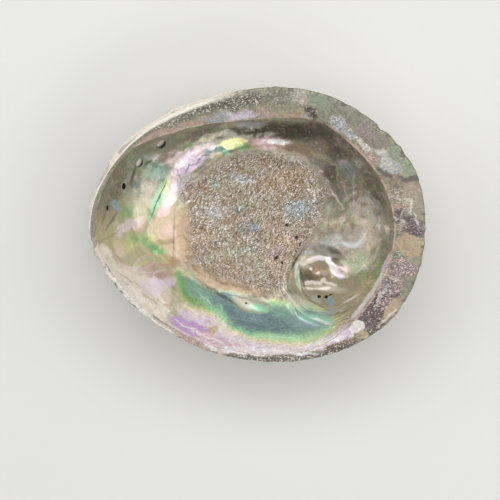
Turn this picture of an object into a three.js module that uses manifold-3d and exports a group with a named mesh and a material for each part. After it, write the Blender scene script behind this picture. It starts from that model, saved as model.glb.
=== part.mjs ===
// An abalone shell lying on its back with its pearly bowl facing up, as one closed solid.
// Millimetres, +Z up. The growing tip points to -X, the spire is at the +X, -Y corner, and the
// shell rests at z = 0 on the small worn flat of its crown.
//
// The shell is lofted from sections round the rim. Each section climbs the outer wall on an arc from
// the worn flat to the rim, crosses the ledge at the top of the rim, and follows a second arc down
// the inner wall to the middle of the bowl. An arc that turns past 90 degrees closes in again, so
// the same formula makes the flaring lip and the wall that is tucked under the ledge.

import * as THREE from "three";
import { mergeVertices } from "three/addons/utils/BufferGeometryUtils.js";
import Module from "manifold-3d";

// Heights above the surface that the shell rests on
const RIM_HEIGHT = 56; // at the two ends of the shell
const RIM_ARCH = 6; // how far the long sides dip below the ends
const FLOOR_HEIGHT = 5; // inside of the bowl, at its middle
const LEDGE_DROP = 2.5; // from the rim to the inner edge of the ledge, where the ledge is broad
const BROAD_LEDGE = 15; // width from which the ledge has its whole drop
const LEDGE_ROUNDING = 1.5; // exponent of the drop's curve across the ledge

// Crown, where the shell rests below its centre of mass
const CROWN = new THREE.Vector2(6, 6);
const REST_RADIUS = 13;

// Stations round the rim: [angle in degrees from +X, value]
const RIM_RADIUS = [
  [0, 95], [20, 94.2], [40, 88.4], [60, 83.7], [80, 79.4], [100, 77.2], [120, 79.4],
  [140, 86.2], [160, 92], [176, 95.2], [187, 95.2], [196, 91.4], [210, 86], [230, 79.6],
  [255, 77], [280, 79.4], [305, 86.6], [325, 93.4], [345, 95],
];
const LEDGE_WIDTH = [
  [0, 18.4], [20, 21], [40, 19.3], [60, 16.6], [80, 18.6], [100, 18], [122, 14.7], [135, 12.8],
  [150, 6], [170, 4], [190, 3.2], [230, 3.5], [270, 4], [285, 4.6], [300, 7.5], [313, 12.8],
  [325, 17], [340, 18.4],
];
// Turn of the wall's arc at the rim: under 90 it flares, over 90 it closes in
const OUTER_TURN = [
  [0, 86], [45, 89], [90, 95], [125, 104], [155, 104], [180, 90], [200, 70], [230, 62],
  [270, 60], [300, 66], [330, 80],
];
const INNER_TURN = [
  [0, 114], [45, 116], [90, 120], [120, 118], [145, 108], [165, 94], [185, 74], [210, 62],
  [250, 58], [280, 60], [300, 72], [315, 92], [335, 108],
];

// Muscle scar, the raised rough island in the bowl: radius from the middle at each angle
const SCAR_RADIUS = [
  [0, 36], [29, 46], [58, 46], [107, 42.7], [123, 43.3], [166, 46], [193, 47], [211, 50],
  [226, 46.2], [250, 44.3], [285, 44.7], [300, 37], [315, 30.4], [343, 31.4],
];
const SCAR_LIFT = 1.3;
const SCAR_EDGE = 0.07; // share of its radius over which the scar fades out
const INNER_FADE = 0.3; // share of the inner wall, from the ledge's edge, over which relief fades in

// Hollow of the spire, seen in the bowl as a pocket with a pit in it and a curled ridge round it
const SPIRE = new THREE.Vector2(40, -31);
const POCKET_RADIUS = 24;
const POCKET_DEPTH = 3.2;
const PIT = new THREE.Vector2(32.5, -27);
const PIT_RADIUS = 10;
const PIT_DEPTH = 3.4;
const CURL_RADIUS = 23.5;
const CURL_LIFT = 1.6;
const CURL_WIDTH = 2.8;
const CURL_START = 130; // degrees about the spire
const CURL_END = 360;
const CURL_FADE = 30;

// Outside: the low spire, the curling row of pore bumps, and the swells left by growth
const SPIRE_RADIUS = 25;
const SPIRE_LIFT = 3.2;
const ROW_REACH = [
  // the row's distance from the spire at each angle about the spire
  [0, 34], [45, 50], [90, 76], [120, 103], [141, 126], [156, 133], [170, 140],
];
const ROW_LIFT = 2.4;
const ROW_WIDTH = 0.06; // as a share of the distance from the spire
const ROW_END = 178; // degrees about the spire, at the growing tip
const ROW_FADE = 16; // degrees over which the row fades out at both its ends
const BUMP_STEP = 7.5; // degrees about the spire from one bump to the next
const BUMP_START = 141.2; // where the oldest open pore is
const BUMP_SHARE = 0.4; // of the row's lift that rises and falls with the bumps
const SWELL_LIFT = 0.6;
const SWELL_COUNT = 22; // swells in a whole turn about the spire
const SWELL_LEAN = 0.35; // how far the swells lean back as they run outwards
const SWELL_FADE = 50; // distance from the spire over which the swells fade in
const OUTER_FADE = [0.25, 0.15]; // shares of the outer wall, at its foot and its rim, left plain

// Open pores near the growing tip
const PORES = [
  { angle: 140.5, inner: 0.575, outer: 0.56, width: 5, length: 6 },
  { angle: 153, inner: 0.6, outer: 0.57, width: 4.6, length: 5.6 },
  { angle: 164.5, inner: 0.69, outer: 0.655, width: 4.2, length: 5 },
  { angle: 174, inner: 0.84, outer: 0.77, width: 3.4, length: 4 },
];
const PORE_SIDES = 14;
const PORE_OVERSHOOT = 9; // how far each pore's cutter runs past the wall

// Mesh
const SECTIONS = 104;
const OUTER_RINGS = 13;
const LEDGE_RINGS = 3;
const INNER_RINGS = 22;
const MERGE_DISTANCE = 1e-3;

const SHELL_MATERIAL = new THREE.MeshStandardMaterial({
  name: "nacre",
  color: 0xb9b3a6,
  roughness: 0.3,
  metalness: 0.15,
});

const { degToRad, radToDeg, smoothstep, euclideanModulo } = THREE.MathUtils;

// A smooth closed curve of values through [angle, value] stations, as a function of the angle.
function aroundRim(stations) {
  const count = stations.length;
  const station = (i) => {
    const [angle, value] = stations[euclideanModulo(i, count)];
    return { angle: angle + 360 * Math.floor(i / count), value };
  };
  const slope = (i) => {
    const before = station(i - 1);
    const after = station(i + 1);
    return (after.value - before.value) / (after.angle - before.angle);
  };
  return (degrees) => {
    const angle = euclideanModulo(degrees, 360);
    const i = stations.findLastIndex(([start]) => start <= angle);
    const from = station(i);
    const to = station(i + 1);
    const span = to.angle - from.angle;
    const t = (angle - from.angle) / span;
    const rise = to.value - from.value;
    const bendFrom = slope(i) * span - rise;
    const bendTo = rise - slope(i + 1) * span;
    return from.value + rise * t + t * (1 - t) * (bendFrom * (1 - t) + bendTo * t);
  };
}

const rimRadius = aroundRim(RIM_RADIUS);
const ledgeWidth = aroundRim(LEDGE_WIDTH);
const outerTurn = aroundRim(OUTER_TURN);
const innerTurn = aroundRim(INNER_TURN);
const scarRadius = aroundRim(SCAR_RADIUS);
const rowReach = aroundRim(ROW_REACH);

const towards = (degrees, distance) =>
  new THREE.Vector2(Math.cos(degToRad(degrees)), Math.sin(degToRad(degrees))).multiplyScalar(distance);
const degreesOf = (point) => euclideanModulo(radToDeg(Math.atan2(point.y, point.x)), 360);
const mound = (distance, radius) => 1 - smoothstep(distance, 0, radius);
const bell = (offset, width) => Math.exp(-((offset / width) ** 2));

function rimHeight(degrees) {
  return RIM_HEIGHT - RIM_ARCH * Math.sin(degToRad(degrees)) ** 2;
}

// How much of a feature shows at a turn about the spire, when it runs from start to end and fades
// out at both.
function between(turn, start, end, fade) {
  return smoothstep(turn, start, start + fade) * (1 - smoothstep(turn, end - fade, end));
}

// Raised curl round the spire's pocket.
function curlLift(point) {
  const arm = point.clone().sub(SPIRE);
  const along = between(degreesOf(arm), CURL_START, CURL_END, CURL_FADE);
  return CURL_LIFT * along * bell(arm.length() - CURL_RADIUS, CURL_WIDTH);
}

// Row of bumps that the pores leave behind as they close.
function rowLift(arm) {
  const turn = degreesOf(arm);
  const across = arm.length() / rowReach(turn) - 1;
  const wave = Math.cos(degToRad((360 * (turn - BUMP_START)) / BUMP_STEP));
  const bumps = 1 - BUMP_SHARE + BUMP_SHARE * wave;
  return ROW_LIFT * bumps * bell(across, ROW_WIDTH) * between(turn, 0, ROW_END, ROW_FADE);
}

// How far the inside stands proud of its plain arc at a plan point.
function innerRelief(point) {
  const reach = point.length() / scarRadius(degreesOf(point));
  const scar = SCAR_LIFT * (1 - smoothstep(reach, 1 - SCAR_EDGE, 1 + SCAR_EDGE));
  const pocket = POCKET_DEPTH * mound(point.distanceTo(SPIRE), POCKET_RADIUS);
  const pit = PIT_DEPTH * mound(point.distanceTo(PIT), PIT_RADIUS);
  return scar + curlLift(point) - pocket - pit;
}

// How far the outside stands proud of its plain arc at a plan point.
function outerRelief(point) {
  const arm = point.clone().sub(SPIRE);
  const distance = arm.length();
  const lean = SWELL_LEAN * Math.log(1 + distance);
  const swell = SWELL_LIFT * Math.cos(SWELL_COUNT * (Math.atan2(arm.y, arm.x) - lean));
  const grown = smoothstep(distance, 0, SWELL_FADE);
  return SPIRE_LIFT * mound(distance, SPIRE_RADIUS) + rowLift(arm) + swell * grown;
}

// A point on the outer wall: climb runs from 0 at the worn flat to 1 at the rim.
function outerPoint(degrees, climb) {
  const fullTurn = outerTurn(degrees);
  const turn = degToRad(fullTurn * climb);
  const widest = Math.sin(degToRad(Math.min(fullTurn, 90)));
  const share = Math.sin(turn) / widest;
  const foot = towards(degrees, REST_RADIUS).add(CROWN);
  const plan = foot.lerp(towards(degrees, rimRadius(degrees)), share);
  const height = (rimHeight(degrees) * (1 - Math.cos(turn))) / (1 - Math.cos(degToRad(fullTurn)));
  const fade = smoothstep(climb, 0, OUTER_FADE[0]) * (1 - smoothstep(climb, 1 - OUTER_FADE[1], 1));
  const proud = outerRelief(plan) * fade;
  plan.add(towards(degrees, proud * Math.sin(turn)));
  return new THREE.Vector3(plan.x, plan.y, height - proud * Math.cos(turn));
}

// A point on the inner wall: descent runs from 0 at the ledge's edge to 1 in the middle of the bowl.
function innerPoint(degrees, descent) {
  const fullTurn = innerTurn(degrees);
  const turn = degToRad(fullTurn * (1 - descent));
  const share = Math.sin(turn) / Math.sin(degToRad(fullTurn));
  const edge = towards(degrees, rimRadius(degrees) - ledgeWidth(degrees));
  const plan = CROWN.clone().lerp(edge, share);
  const edgeHeight = ledgePoint(degrees, 1).z;
  const rise = (1 - Math.cos(turn)) / (1 - Math.cos(degToRad(fullTurn)));
  const proud = innerRelief(plan) * smoothstep(descent, 0, INNER_FADE);
  const height = FLOOR_HEIGHT + (edgeHeight - FLOOR_HEIGHT) * rise + proud * Math.cos(turn);
  plan.sub(towards(degrees, proud * Math.sin(turn)));
  return new THREE.Vector3(plan.x, plan.y, height);
}

// A point on the ledge: across runs from 0 at the rim to 1 at the ledge's inner edge.
function ledgePoint(degrees, across) {
  const rim = rimRadius(degrees) * Math.sin(degToRad(Math.max(outerTurn(degrees), 90)));
  const edge = rimRadius(degrees) - ledgeWidth(degrees);
  const plan = towards(degrees, THREE.MathUtils.lerp(rim, edge, across));
  const drop = LEDGE_DROP * smoothstep(ledgeWidth(degrees), 0, BROAD_LEDGE) * across ** LEDGE_ROUNDING;
  return new THREE.Vector3(plan.x, plan.y, rimHeight(degrees) - drop);
}

// One section as a list of points from the worn flat over the rim to the last ring of the bowl.
function section(degrees) {
  const points = [];
  for (let i = 0; i <= OUTER_RINGS; i++) {
    points.push(outerPoint(degrees, i / OUTER_RINGS));
  }
  for (let i = 1; i <= LEDGE_RINGS; i++) {
    points.push(ledgePoint(degrees, i / LEDGE_RINGS));
  }
  for (let i = 1; i < INNER_RINGS; i++) {
    points.push(innerPoint(degrees, i / INNER_RINGS));
  }
  return points;
}

// The closed skin of the shell: rings of quads between two fans.
function skinGeometry() {
  const sections = Array.from({ length: SECTIONS }, (_, i) => section((360 * i) / SECTIONS));
  const rings = sections[0].length;
  const points = sections.flat();
  const at = (ring, i) => (i % SECTIONS) * rings + ring;
  const crown = points.push(new THREE.Vector3(CROWN.x, CROWN.y, 0)) - 1;
  const middle = points.push(innerPoint(0, 1)) - 1;
  const triangles = [];
  for (let i = 0; i < SECTIONS; i++) {
    triangles.push(crown, at(0, i + 1), at(0, i));
    for (let ring = 0; ring < rings - 1; ring++) {
      const corners = [at(ring, i), at(ring, i + 1), at(ring + 1, i + 1), at(ring + 1, i)];
      triangles.push(corners[0], corners[1], corners[2], corners[0], corners[2], corners[3]);
    }
    triangles.push(at(rings - 1, i), at(rings - 1, i + 1), middle);
  }
  return new THREE.BufferGeometry().setFromPoints(points).setIndex(triangles);
}

// An oval cutter through the wall, from inside the bowl to outside.
function poreGeometry({ angle, inner, outer, width, length }) {
  const start = innerPoint(angle, 1 - inner);
  const end = outerPoint(angle, outer);
  const axis = end.clone().sub(start);
  const reach = axis.length() + 2 * PORE_OVERSHOOT;
  const along = towards(angle + 90, 1);
  const up = axis.normalize();
  const side = new THREE.Vector3(along.x, along.y, 0);
  side.addScaledVector(up, -side.dot(up)).normalize();
  const frame = new THREE.Matrix4().makeBasis(side, up, side.clone().cross(up));
  frame.setPosition(start.add(end).multiplyScalar(0.5));
  return new THREE.CylinderGeometry(0.5, 0.5, reach, PORE_SIDES)
    .scale(length, 1, width)
    .applyMatrix4(frame);
}

const wasm = await Module();
wasm.setup();

function solidOf(geometry) {
  geometry.deleteAttribute("normal");
  geometry.deleteAttribute("uv");
  const merged = mergeVertices(geometry, MERGE_DISTANCE);
  const vertProperties = merged.attributes.position.array;
  const triVerts = new Uint32Array(merged.index.array);
  return new wasm.Manifold(new wasm.Mesh({ numProp: 3, vertProperties, triVerts }));
}

function geometryOf(solid) {
  const { vertProperties, triVerts } = solid.getMesh();
  const geometry = new THREE.BufferGeometry();
  geometry.setAttribute("position", new THREE.BufferAttribute(vertProperties, 3));
  geometry.setIndex(new THREE.BufferAttribute(triVerts, 1));
  geometry.computeVertexNormals();
  return geometry;
}

function shellMesh() {
  const pores = PORES.map((pore) => solidOf(poreGeometry(pore)));
  const pierced = pores.reduce((solid, pore) => solid.subtract(pore), solidOf(skinGeometry()));
  const mesh = new THREE.Mesh(geometryOf(pierced), SHELL_MATERIAL);
  mesh.name = "shell";
  mesh.geometry.computeBoundingBox();
  const middle = mesh.geometry.boundingBox.getCenter(new THREE.Vector3());
  mesh.position.set(-middle.x, -middle.y, 0);
  return mesh;
}

const abalone = new THREE.Group();
abalone.name = "abalone_shell";
abalone.add(shellMesh());

export default abalone;
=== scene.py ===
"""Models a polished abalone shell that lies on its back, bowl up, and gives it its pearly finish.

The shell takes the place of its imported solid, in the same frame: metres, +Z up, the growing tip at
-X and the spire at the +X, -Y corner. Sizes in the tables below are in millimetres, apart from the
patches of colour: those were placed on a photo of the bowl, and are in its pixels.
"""

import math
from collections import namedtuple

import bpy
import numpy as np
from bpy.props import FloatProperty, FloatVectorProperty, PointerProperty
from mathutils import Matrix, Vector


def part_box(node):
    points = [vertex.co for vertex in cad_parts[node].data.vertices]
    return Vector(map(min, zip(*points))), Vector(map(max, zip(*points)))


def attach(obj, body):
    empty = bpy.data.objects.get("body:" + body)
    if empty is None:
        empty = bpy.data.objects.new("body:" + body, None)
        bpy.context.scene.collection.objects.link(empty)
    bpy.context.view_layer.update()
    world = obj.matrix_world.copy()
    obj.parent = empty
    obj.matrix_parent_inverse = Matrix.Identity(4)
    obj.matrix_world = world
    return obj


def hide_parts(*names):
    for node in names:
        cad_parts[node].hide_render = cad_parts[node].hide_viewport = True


bl_info = {
    "name": "Abalone Shell",
    "version": (1, 0, 0),
    "blender": (4, 5, 0),
    "location": "View3D > Sidebar > Shell",
    "description": "Models a polished abalone shell, its pearly finish and a stage for it",
    "category": "Add Mesh",
}

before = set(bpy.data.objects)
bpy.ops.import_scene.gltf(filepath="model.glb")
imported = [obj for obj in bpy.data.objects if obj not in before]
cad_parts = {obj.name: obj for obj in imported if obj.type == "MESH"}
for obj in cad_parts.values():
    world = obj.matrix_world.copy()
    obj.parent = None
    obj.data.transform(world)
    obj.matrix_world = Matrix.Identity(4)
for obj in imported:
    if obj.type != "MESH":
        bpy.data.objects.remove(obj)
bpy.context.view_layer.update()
SHELL_LOW, SHELL_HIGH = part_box("shell")
MM = 0.001

# Stations round the rim: (angle in degrees from +X, value)
RIM_RADIUS = (
    (0, 95), (20, 94.2), (40, 88.4), (60, 83.7), (80, 79.4), (100, 77.2), (120, 79.4),
    (140, 86.2), (160, 92), (176, 95.2), (187, 95.2), (196, 91.4), (210, 86), (230, 79.6),
    (255, 77), (280, 79.4), (305, 86.6), (325, 93.4), (345, 95),
)
LEDGE_WIDTH = (
    (0, 18.4), (20, 21), (40, 19.3), (60, 16.6), (80, 18.6), (100, 18), (122, 14.7), (135, 12.8),
    (150, 6), (170, 4), (190, 3.2), (230, 3.5), (270, 4), (285, 4.6), (300, 7.5), (313, 12.8),
    (325, 17), (340, 18.4),
)
# Turn of the wall's arc at the rim: under 90 it flares, over 90 it closes in
OUTER_TURN = (
    (0, 86), (45, 89), (90, 95), (125, 104), (155, 104), (180, 90), (200, 70), (230, 62),
    (270, 60), (300, 66), (330, 80),
)
INNER_TURN = (
    (0, 114), (45, 116), (90, 120), (120, 118), (145, 108), (165, 94), (185, 74), (210, 62),
    (250, 58), (280, 60), (300, 72), (315, 92), (335, 108),
)
# Muscle scar: radius from the middle of the shell at each angle
SCAR_RADIUS = (
    (0, 36), (29, 46), (58, 46), (107, 42.7), (123, 43.3), (166, 46), (193, 47), (211, 50),
    (226, 45.5), (250, 42), (285, 42.5), (300, 37), (315, 30.4), (343, 31.4),
)
# Row of pore bumps: its distance from the spire at each angle about the spire
ROW_REACH = (
    (0, 34), (45, 50), (90, 76), (120, 103), (141, 126), (156, 133), (170, 140),
)

# Plan of the crown that the shell rests on, and of the spire
CROWN = np.array((6.0, 6.0))
REST_RADIUS = 13
SPIRE = np.array((40.0, -31.0))

# Shape of the ledge across its width
BROAD_LEDGE = 15
LEDGE_ROUNDING = 1.5

# Relief of the bowl
SCAR_EDGE = 0.07
INNER_FADE = 0.3
POCKET_RADIUS = 24
PIT = np.array((32.5, -27.0))
PIT_RADIUS = 10
CURL_RADIUS = 23.5
CURL_WIDTH = 2.8
CURL_SPAN = (130, 360)
CURL_FADE = 30
# Fine ridges nested in the curl: (radius, lift, width)
CURL_RIDGES = ((16.5, 0.5, 0.8), (19, 0.7, 0.8), (21, 0.5, 0.7), (27, 0.8, 1.2))
CURL_RIDGE_SPAN = (185, 345)
# Lines of colour round the curl: the way they face, and the distances over which they come in and go
CURL_FACING = 235
CURL_NEAR_SIDE = (3, 14)
CURL_LINES_START = (17, 20)
CURL_LINES_END = (36, 26)

# Relief of the outside
SPIRE_RADIUS = 25
ROW_WIDTH = 0.06
ROW_SPAN = (0, 178)
ROW_FADE = 16
BUMP_STEP = 7.5
BUMP_START = 141.2
BUMP_SHARE = 0.4
SWELL_COUNT = 22
SWELL_LEAN = 0.35
SWELL_FADE = 50
OUTER_FADE = (0.25, 0.15)
GROWTH_RINGS = 16
RING_DRIFT = 2.5
RING_DRIFT_TURNS = 9

# Open pores: angle, share of the inner and the outer arc, width, length
Pore = namedtuple("Pore", "angle inner outer width length")
PORES = (
    Pore(140.5, 0.575, 0.56, 5, 6),
    Pore(153, 0.6, 0.57, 4.6, 5.6),
    Pore(164.5, 0.69, 0.655, 3, 3.6),
    Pore(174, 0.84, 0.77, 2.4, 3),
)
PORE_SIDES = 28
PORE_OVERSHOOT = 9

# Small lumps and dents of the bowl: place, half sizes, turn in degrees, lift
Lump = namedtuple("Lump", "at size turn lift")
LUMPS = (
    Lump((45.5, -24), (8.5, 4), -37, 2.2),  # roll beside the pit
    Lump((44, -16.5), (7, 4), -30, -1.0),  # recess above the roll
    Lump((34, -34.5), (11, 2.4), 4, 1.1),  # crest below the pit
    Lump((24, -29), (10, 2.6), 95, 1.2),  # pale lip between the scar and the pit
    Lump((-4, -45.7), (11, 5), -17, 1.1),  # blister
    Lump((55, -3), (7, 6.5), 0, -0.9),  # dimple
    Lump((36.5, -41), (1.0, 0.7), 20, -0.9),  # two borings below the pocket
    Lump((40.3, -41.6), (1.0, 0.8), -30, -0.9),
    Lump((17.7, -0.5), (1.6, 1.3), 0, -1.2),  # pits in the scar
    Lump((23.3, -7.2), (1.4, 1.1), 40, -1.1),
    Lump((11.5, -19), (1.7, 1), 30, -1.0),
    Lump((-6, -45.7), (0.7, 0.5), 0, -0.7),  # boring in the blister
)

# Nicks in the rim: angle, half width in degrees, depth
NICKS = (
    (54, 0.9, 0.9), (47.5, 1.3, 0.8), (38, 1.6, 1.5), (31, 0.8, 0.7), (25.5, 1.5, 1.0), (14, 0.8, 0.6),
    (202.5, 1.3, 1.3), (206, 0.9, 1.1), (210, 1.2, 0.9), (214.5, 1.5, 1.0), (221, 1.4, 1.0),
    (228, 1.0, 0.8), (236, 1.2, 0.9), (244, 0.9, 0.7), (187, 1.6, 1.6), (331, 1.2, 0.9), (318, 1.0, 0.8),
)

# Sphere that is pressed into shape, and how its mesh is smoothed and grouped
SEGMENTS = 116
RINGS = 50
CUTS = 3
SMOOTH_ANGLE = 60
EDGE_SMOOTHING = 4
SMOOTHING_FACTOR = 0.5
WEIGHT_STEPS = 8
FACE_ZONES = 3
# Stations: where each zone of a section ends, as a share of the way from the crown to the bowl's middle
FLAT_STATION = 0.03
RIM_STATION = 0.30
EDGE_STATION = 0.42
# Distances in stations over which zones fade, edges are rounded, and chips and nicks reach
ZONE_FADE = 0.03
SOFT_REACH = 0.011
RIM_REACH = 0.02
NICK_REACH = 0.03
# Drop of a nick for each millimetre of its depth
NICK_DROP = 0.4
# What the maps hold far from the scar, and in the pores
FAR_FROM_SCAR = 2.0
PORE_STATION = 0.6
# Angles and steps up the wall at which its outline is sampled
OUTLINE_DEGREES = np.arange(0, 360, 0.5)
WALL_CLIMBS = np.linspace(0.5, 1, 26)

# Edges of the ledge: stations over which the rim's chips, its pale polish and painted highlight,
# and the inner line come in
CHIP_SPAN = (RIM_STATION + 0.022, RIM_STATION + 0.008)
POLISH_HIGHLIGHT_SPAN = (RIM_STATION + 0.03, RIM_STATION + 0.012)
EDGE_LINE_SPAN = (EDGE_STATION - 0.014, EDGE_STATION - 0.004)
# Side on which the rim is pale, polished and with a painted highlight: its direction, and the distances
# over which it starts
POLISH_HIGHLIGHT_FACING = 138
POLISH_HIGHLIGHT_SIDE = (52, 70)

# Rough relief of cloudy noise, by vertex group: size of its features, depth of its detail, and lift
Relief = namedtuple("Relief", "name group grain depth lift")
RELIEFS = (
    Relief("scar_swell", "scar", 9, 2, 1.6),
    Relief("scar_grain", "scar", 3.2, 1, 1.3),
    Relief("nacre_ripple", "nacre", 16, 2, 1.6),
    Relief("nacre_facets", "nacre", 7, 1, 0.5),
    Relief("ledge_grain", "ledge", 2.4, 3, 0.6),
    Relief("rim_chips", "rim", 3, 3, 1.2),
    Relief("outside_wear", "outside", 8, 3, 0.9),
)

# Finish: grades of the noise that makes outlines ragged, and the range in which clouds of colour meet
RAGGED_GRADES = ("Coarse", "Fine", "Facet")
CLOUD_SPAN = (0.35, 0.65)
# Ranges of the grain's height that glint or are dark, and the part of it that crystals give
BRIGHT_GRAIN = (0.55, 0.64)
DARK_GRAIN = (0.5, 0.4)
CRYSTAL_SHARE = 0.4
GRAIN_COAT = 0.1
COAT_ROUGHNESS = 0.08
NACRE_IOR = 1.55
# Frayed edge of the scar: distances from its middle, in shares of its radius, over which it fades
SCAR_FRAY = (1.04, 1.2)
# A pore's wall counts from 1 inside to 2 outside, and all else 0: where it is painted dark as shadow in
# the hole, and then pale as light through it
PORE_SHADOW = (0.4, 0.6)
PORE_LIT = (1.4, 1.5)

# Stage
FLOOR_SIZE = 4
FLOOR_ROUGHNESS = 0.6
LIT_HEIGHT = 0.03
VIEW_MIDDLE = (-3.8, -14.6)
SENSOR_WIDTH = 36
# Lights: name, place and size in metres, and the setting that holds the power
LIGHTS = (
    ("Key", (0, 0.85, 1.35), (1.4, 0.8), "key_power"),
    ("Left", (-1.1, 0.3, 1.0), (1.3, 1.0), "side_power"),
    ("Right", (1.1, 0.3, 1.0), (1.3, 1.0), "side_power"),
    ("Front", (0.6, -0.95, 1.1), (1.2, 0.4), "front_power"),
    ("Top", (0, 0, 1.9), (1.2, 1.2), "top_power"),
)

# Colours of the shell, as sRGB: what each is, then its value
COLOURS = {
    # Glint is the white of painted highlights
    "glint": ("White of the brightest nacre", (1.0, 0.98, 0.99)),
    "cream": ("Near-white of the lip and the polished outside", (0.98, 0.95, 0.90)),
    "pearl": ("Pale warm grey of the lip", (0.92, 0.88, 0.83)),
    "silver": ("Cool pale grey", (0.74, 0.74, 0.74)),
    "lilac": ("Pale lilac nacre", (0.95, 0.87, 0.94)),
    "violet": ("Strong lilac nacre", (0.82, 0.69, 0.87)),
    "rose": ("Pale pink nacre", (0.93, 0.79, 0.80)),
    "blush": ("Salmon pink nacre", (0.77, 0.66, 0.61)),
    "peach": ("Orange nacre", (0.79, 0.63, 0.48)),
    "honey": ("Tan nacre", (0.76, 0.67, 0.53)),
    "straw": ("Yellow-olive nacre", (0.74, 0.71, 0.57)),
    "lemon": ("Bright yellow nacre", (0.97, 0.96, 0.66)),
    "leaf": ("Bright green nacre", (0.47, 0.68, 0.44)),
    "mint": ("Pale blue-green nacre", (0.60, 0.90, 0.72)),
    "jade": ("Deep green nacre", (0.33, 0.50, 0.42)),
    "teal": ("Blue-green nacre", (0.52, 0.65, 0.60)),
    "slate": ("Blue-grey nacre", (0.47, 0.55, 0.57)),
    "sky": ("Pale blue nacre", (0.60, 0.68, 0.70)),
    "sage": ("Grey-green nacre", (0.58, 0.63, 0.52)),
    "olive": ("Olive-grey nacre", (0.56, 0.55, 0.47)),
    "smoke": ("Dark smoky nacre", (0.49, 0.46, 0.41)),
    "ash": ("Pale smoky nacre", (0.57, 0.53, 0.47)),
    "sand": ("Beige nacre", (0.66, 0.62, 0.52)),
    "taupe": ("Brown-grey of the scar", (0.61, 0.53, 0.44)),
    "ochre": ("Yellow-brown of the scar", (0.59, 0.48, 0.34)),
    "mauve": ("Purple-grey", (0.68, 0.57, 0.57)),
    "plum": ("Dark purple-brown", (0.44, 0.36, 0.37)),
    "umber": ("Dark brown", (0.31, 0.27, 0.22)),
    "ink": ("Near-black of pits and cracks", (0.09, 0.08, 0.07)),
}

# Photo that the patches were placed on: the pixel on the frame's origin, and a pixel's size
PHOTO_ORIGIN = (256.75, 224.2)
PIXEL = 0.5655

# Patches of colour: palette name, place and half sizes in pixels, turn in degrees, softness of the
# outline, share of grain, and opacity. Later patches lie over earlier ones.
Patch = namedtuple("Patch", "colour at size turn soft grain amount", defaults=(0, 1))

# Broad sweeps of colour, under all else in the bowl
BOWL_BROAD = (
    Patch("ash", (349.6, 204.7), (75, 46), 90, 0.6),
    Patch("ash", (345, 150), (40, 22), -35, 0.6),
    Patch("olive", (124, 168), (46, 20), 54, 0.5),
    Patch("sage", (128, 172), (34, 14), 54, 0.7, amount=0.5),
    Patch("smoke", (108, 196), (32, 8), 70, 0.6, amount=0.9),
    Patch("smoke", (102, 217), (20, 8), 80, 0.5),
    Patch("straw", (142, 238), (50, 33), 10, 0.5),
    Patch("pearl", (128, 288), (52, 20), -36, 0.5),
    # Cream along the lower lip: pale lip nacre with a painted highlight over it
    Patch("cream", (245, 340), (95, 17), -3, 0.4),
    Patch("sand", (352, 296), (34, 26), 45, 0.6),
    # Umber and smoke along the top: painted shade under the overhanging ledge
    Patch("umber", (285, 128), (60, 8), -4, 0.6),
    Patch("umber", (338, 140), (26, 6), -32, 0.6, amount=0.7),
    Patch("smoke", (205, 133), (36, 6), 12, 0.6, amount=0.9),
)
# Wall at the upper left, below the pores
BOWL_WALL = (
    Patch("sky", (114, 203), (6, 4), -60, 0.4, amount=0.8),
    Patch("leaf", (125, 210), (8, 5), 40, 0.6, amount=0.6),
    Patch("silver", (149, 155), (5, 4), 0, 0.6, amount=0.5),
    Patch("smoke", (133, 178), (10, 6), 60, 0.6, amount=0.5),
    Patch("pearl", (141, 195), (15, 12), 60, 0.6, amount=0.35),
    Patch("teal", (154, 170), (9, 8), 30, 0.7, amount=0.7),
    Patch("mint", (157, 196), (22, 4), 66, 0.5, amount=0.65),
    Patch("leaf", (150, 213), (6, 4), 60, 0.6, amount=0.4),
    Patch("lemon", (165, 181), (12, 2.4), 60, 0.4, amount=0.6),
    # Pale rows at the streak's lower end: pale nacre under a painted highlight
    Patch("pearl", (168, 194), (17, 6), 66, 0.4, amount=0.9),
    Patch("lilac", (172, 184), (8, 4), 62, 0.4, amount=0.8),
    Patch("cream", (166, 201), (8, 4), 66, 0.4, amount=0.8),
    Patch("rose", (162, 211), (8, 5), 60, 0.3, amount=0.7),
    Patch("olive", (160, 142), (24, 5), 22, 0.6),
    Patch("mauve", (172, 153), (15, 6), 28, 0.5, amount=0.7),
    Patch("straw", (209, 133), (12, 3), 18, 0.5, amount=0.7),
    Patch("olive", (222, 126), (14, 4), 14, 0.4, amount=0.9),
    Patch("straw", (232, 122), (12, 3), 10, 0.5, amount=0.8),
    Patch("silver", (250, 121), (14, 3), 5, 0.4, amount=0.7),
    Patch("peach", (172, 176), (5, 3), 50, 0.5, amount=0.4),
    Patch("leaf", (185, 145), (7, 3), 20, 0.6, amount=0.4),
    Patch("jade", (158, 166), (6, 4), 30, 0.8, amount=0.35),
    Patch("silver", (153, 156), (3, 2), 40, 0.4, amount=0.6),
    Patch("silver", (126, 178), (8, 2.5), 60, 0.6, amount=0.4),
    Patch("jade", (135, 181), (6, 3), 50, 0.6, amount=0.4),
)
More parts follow.
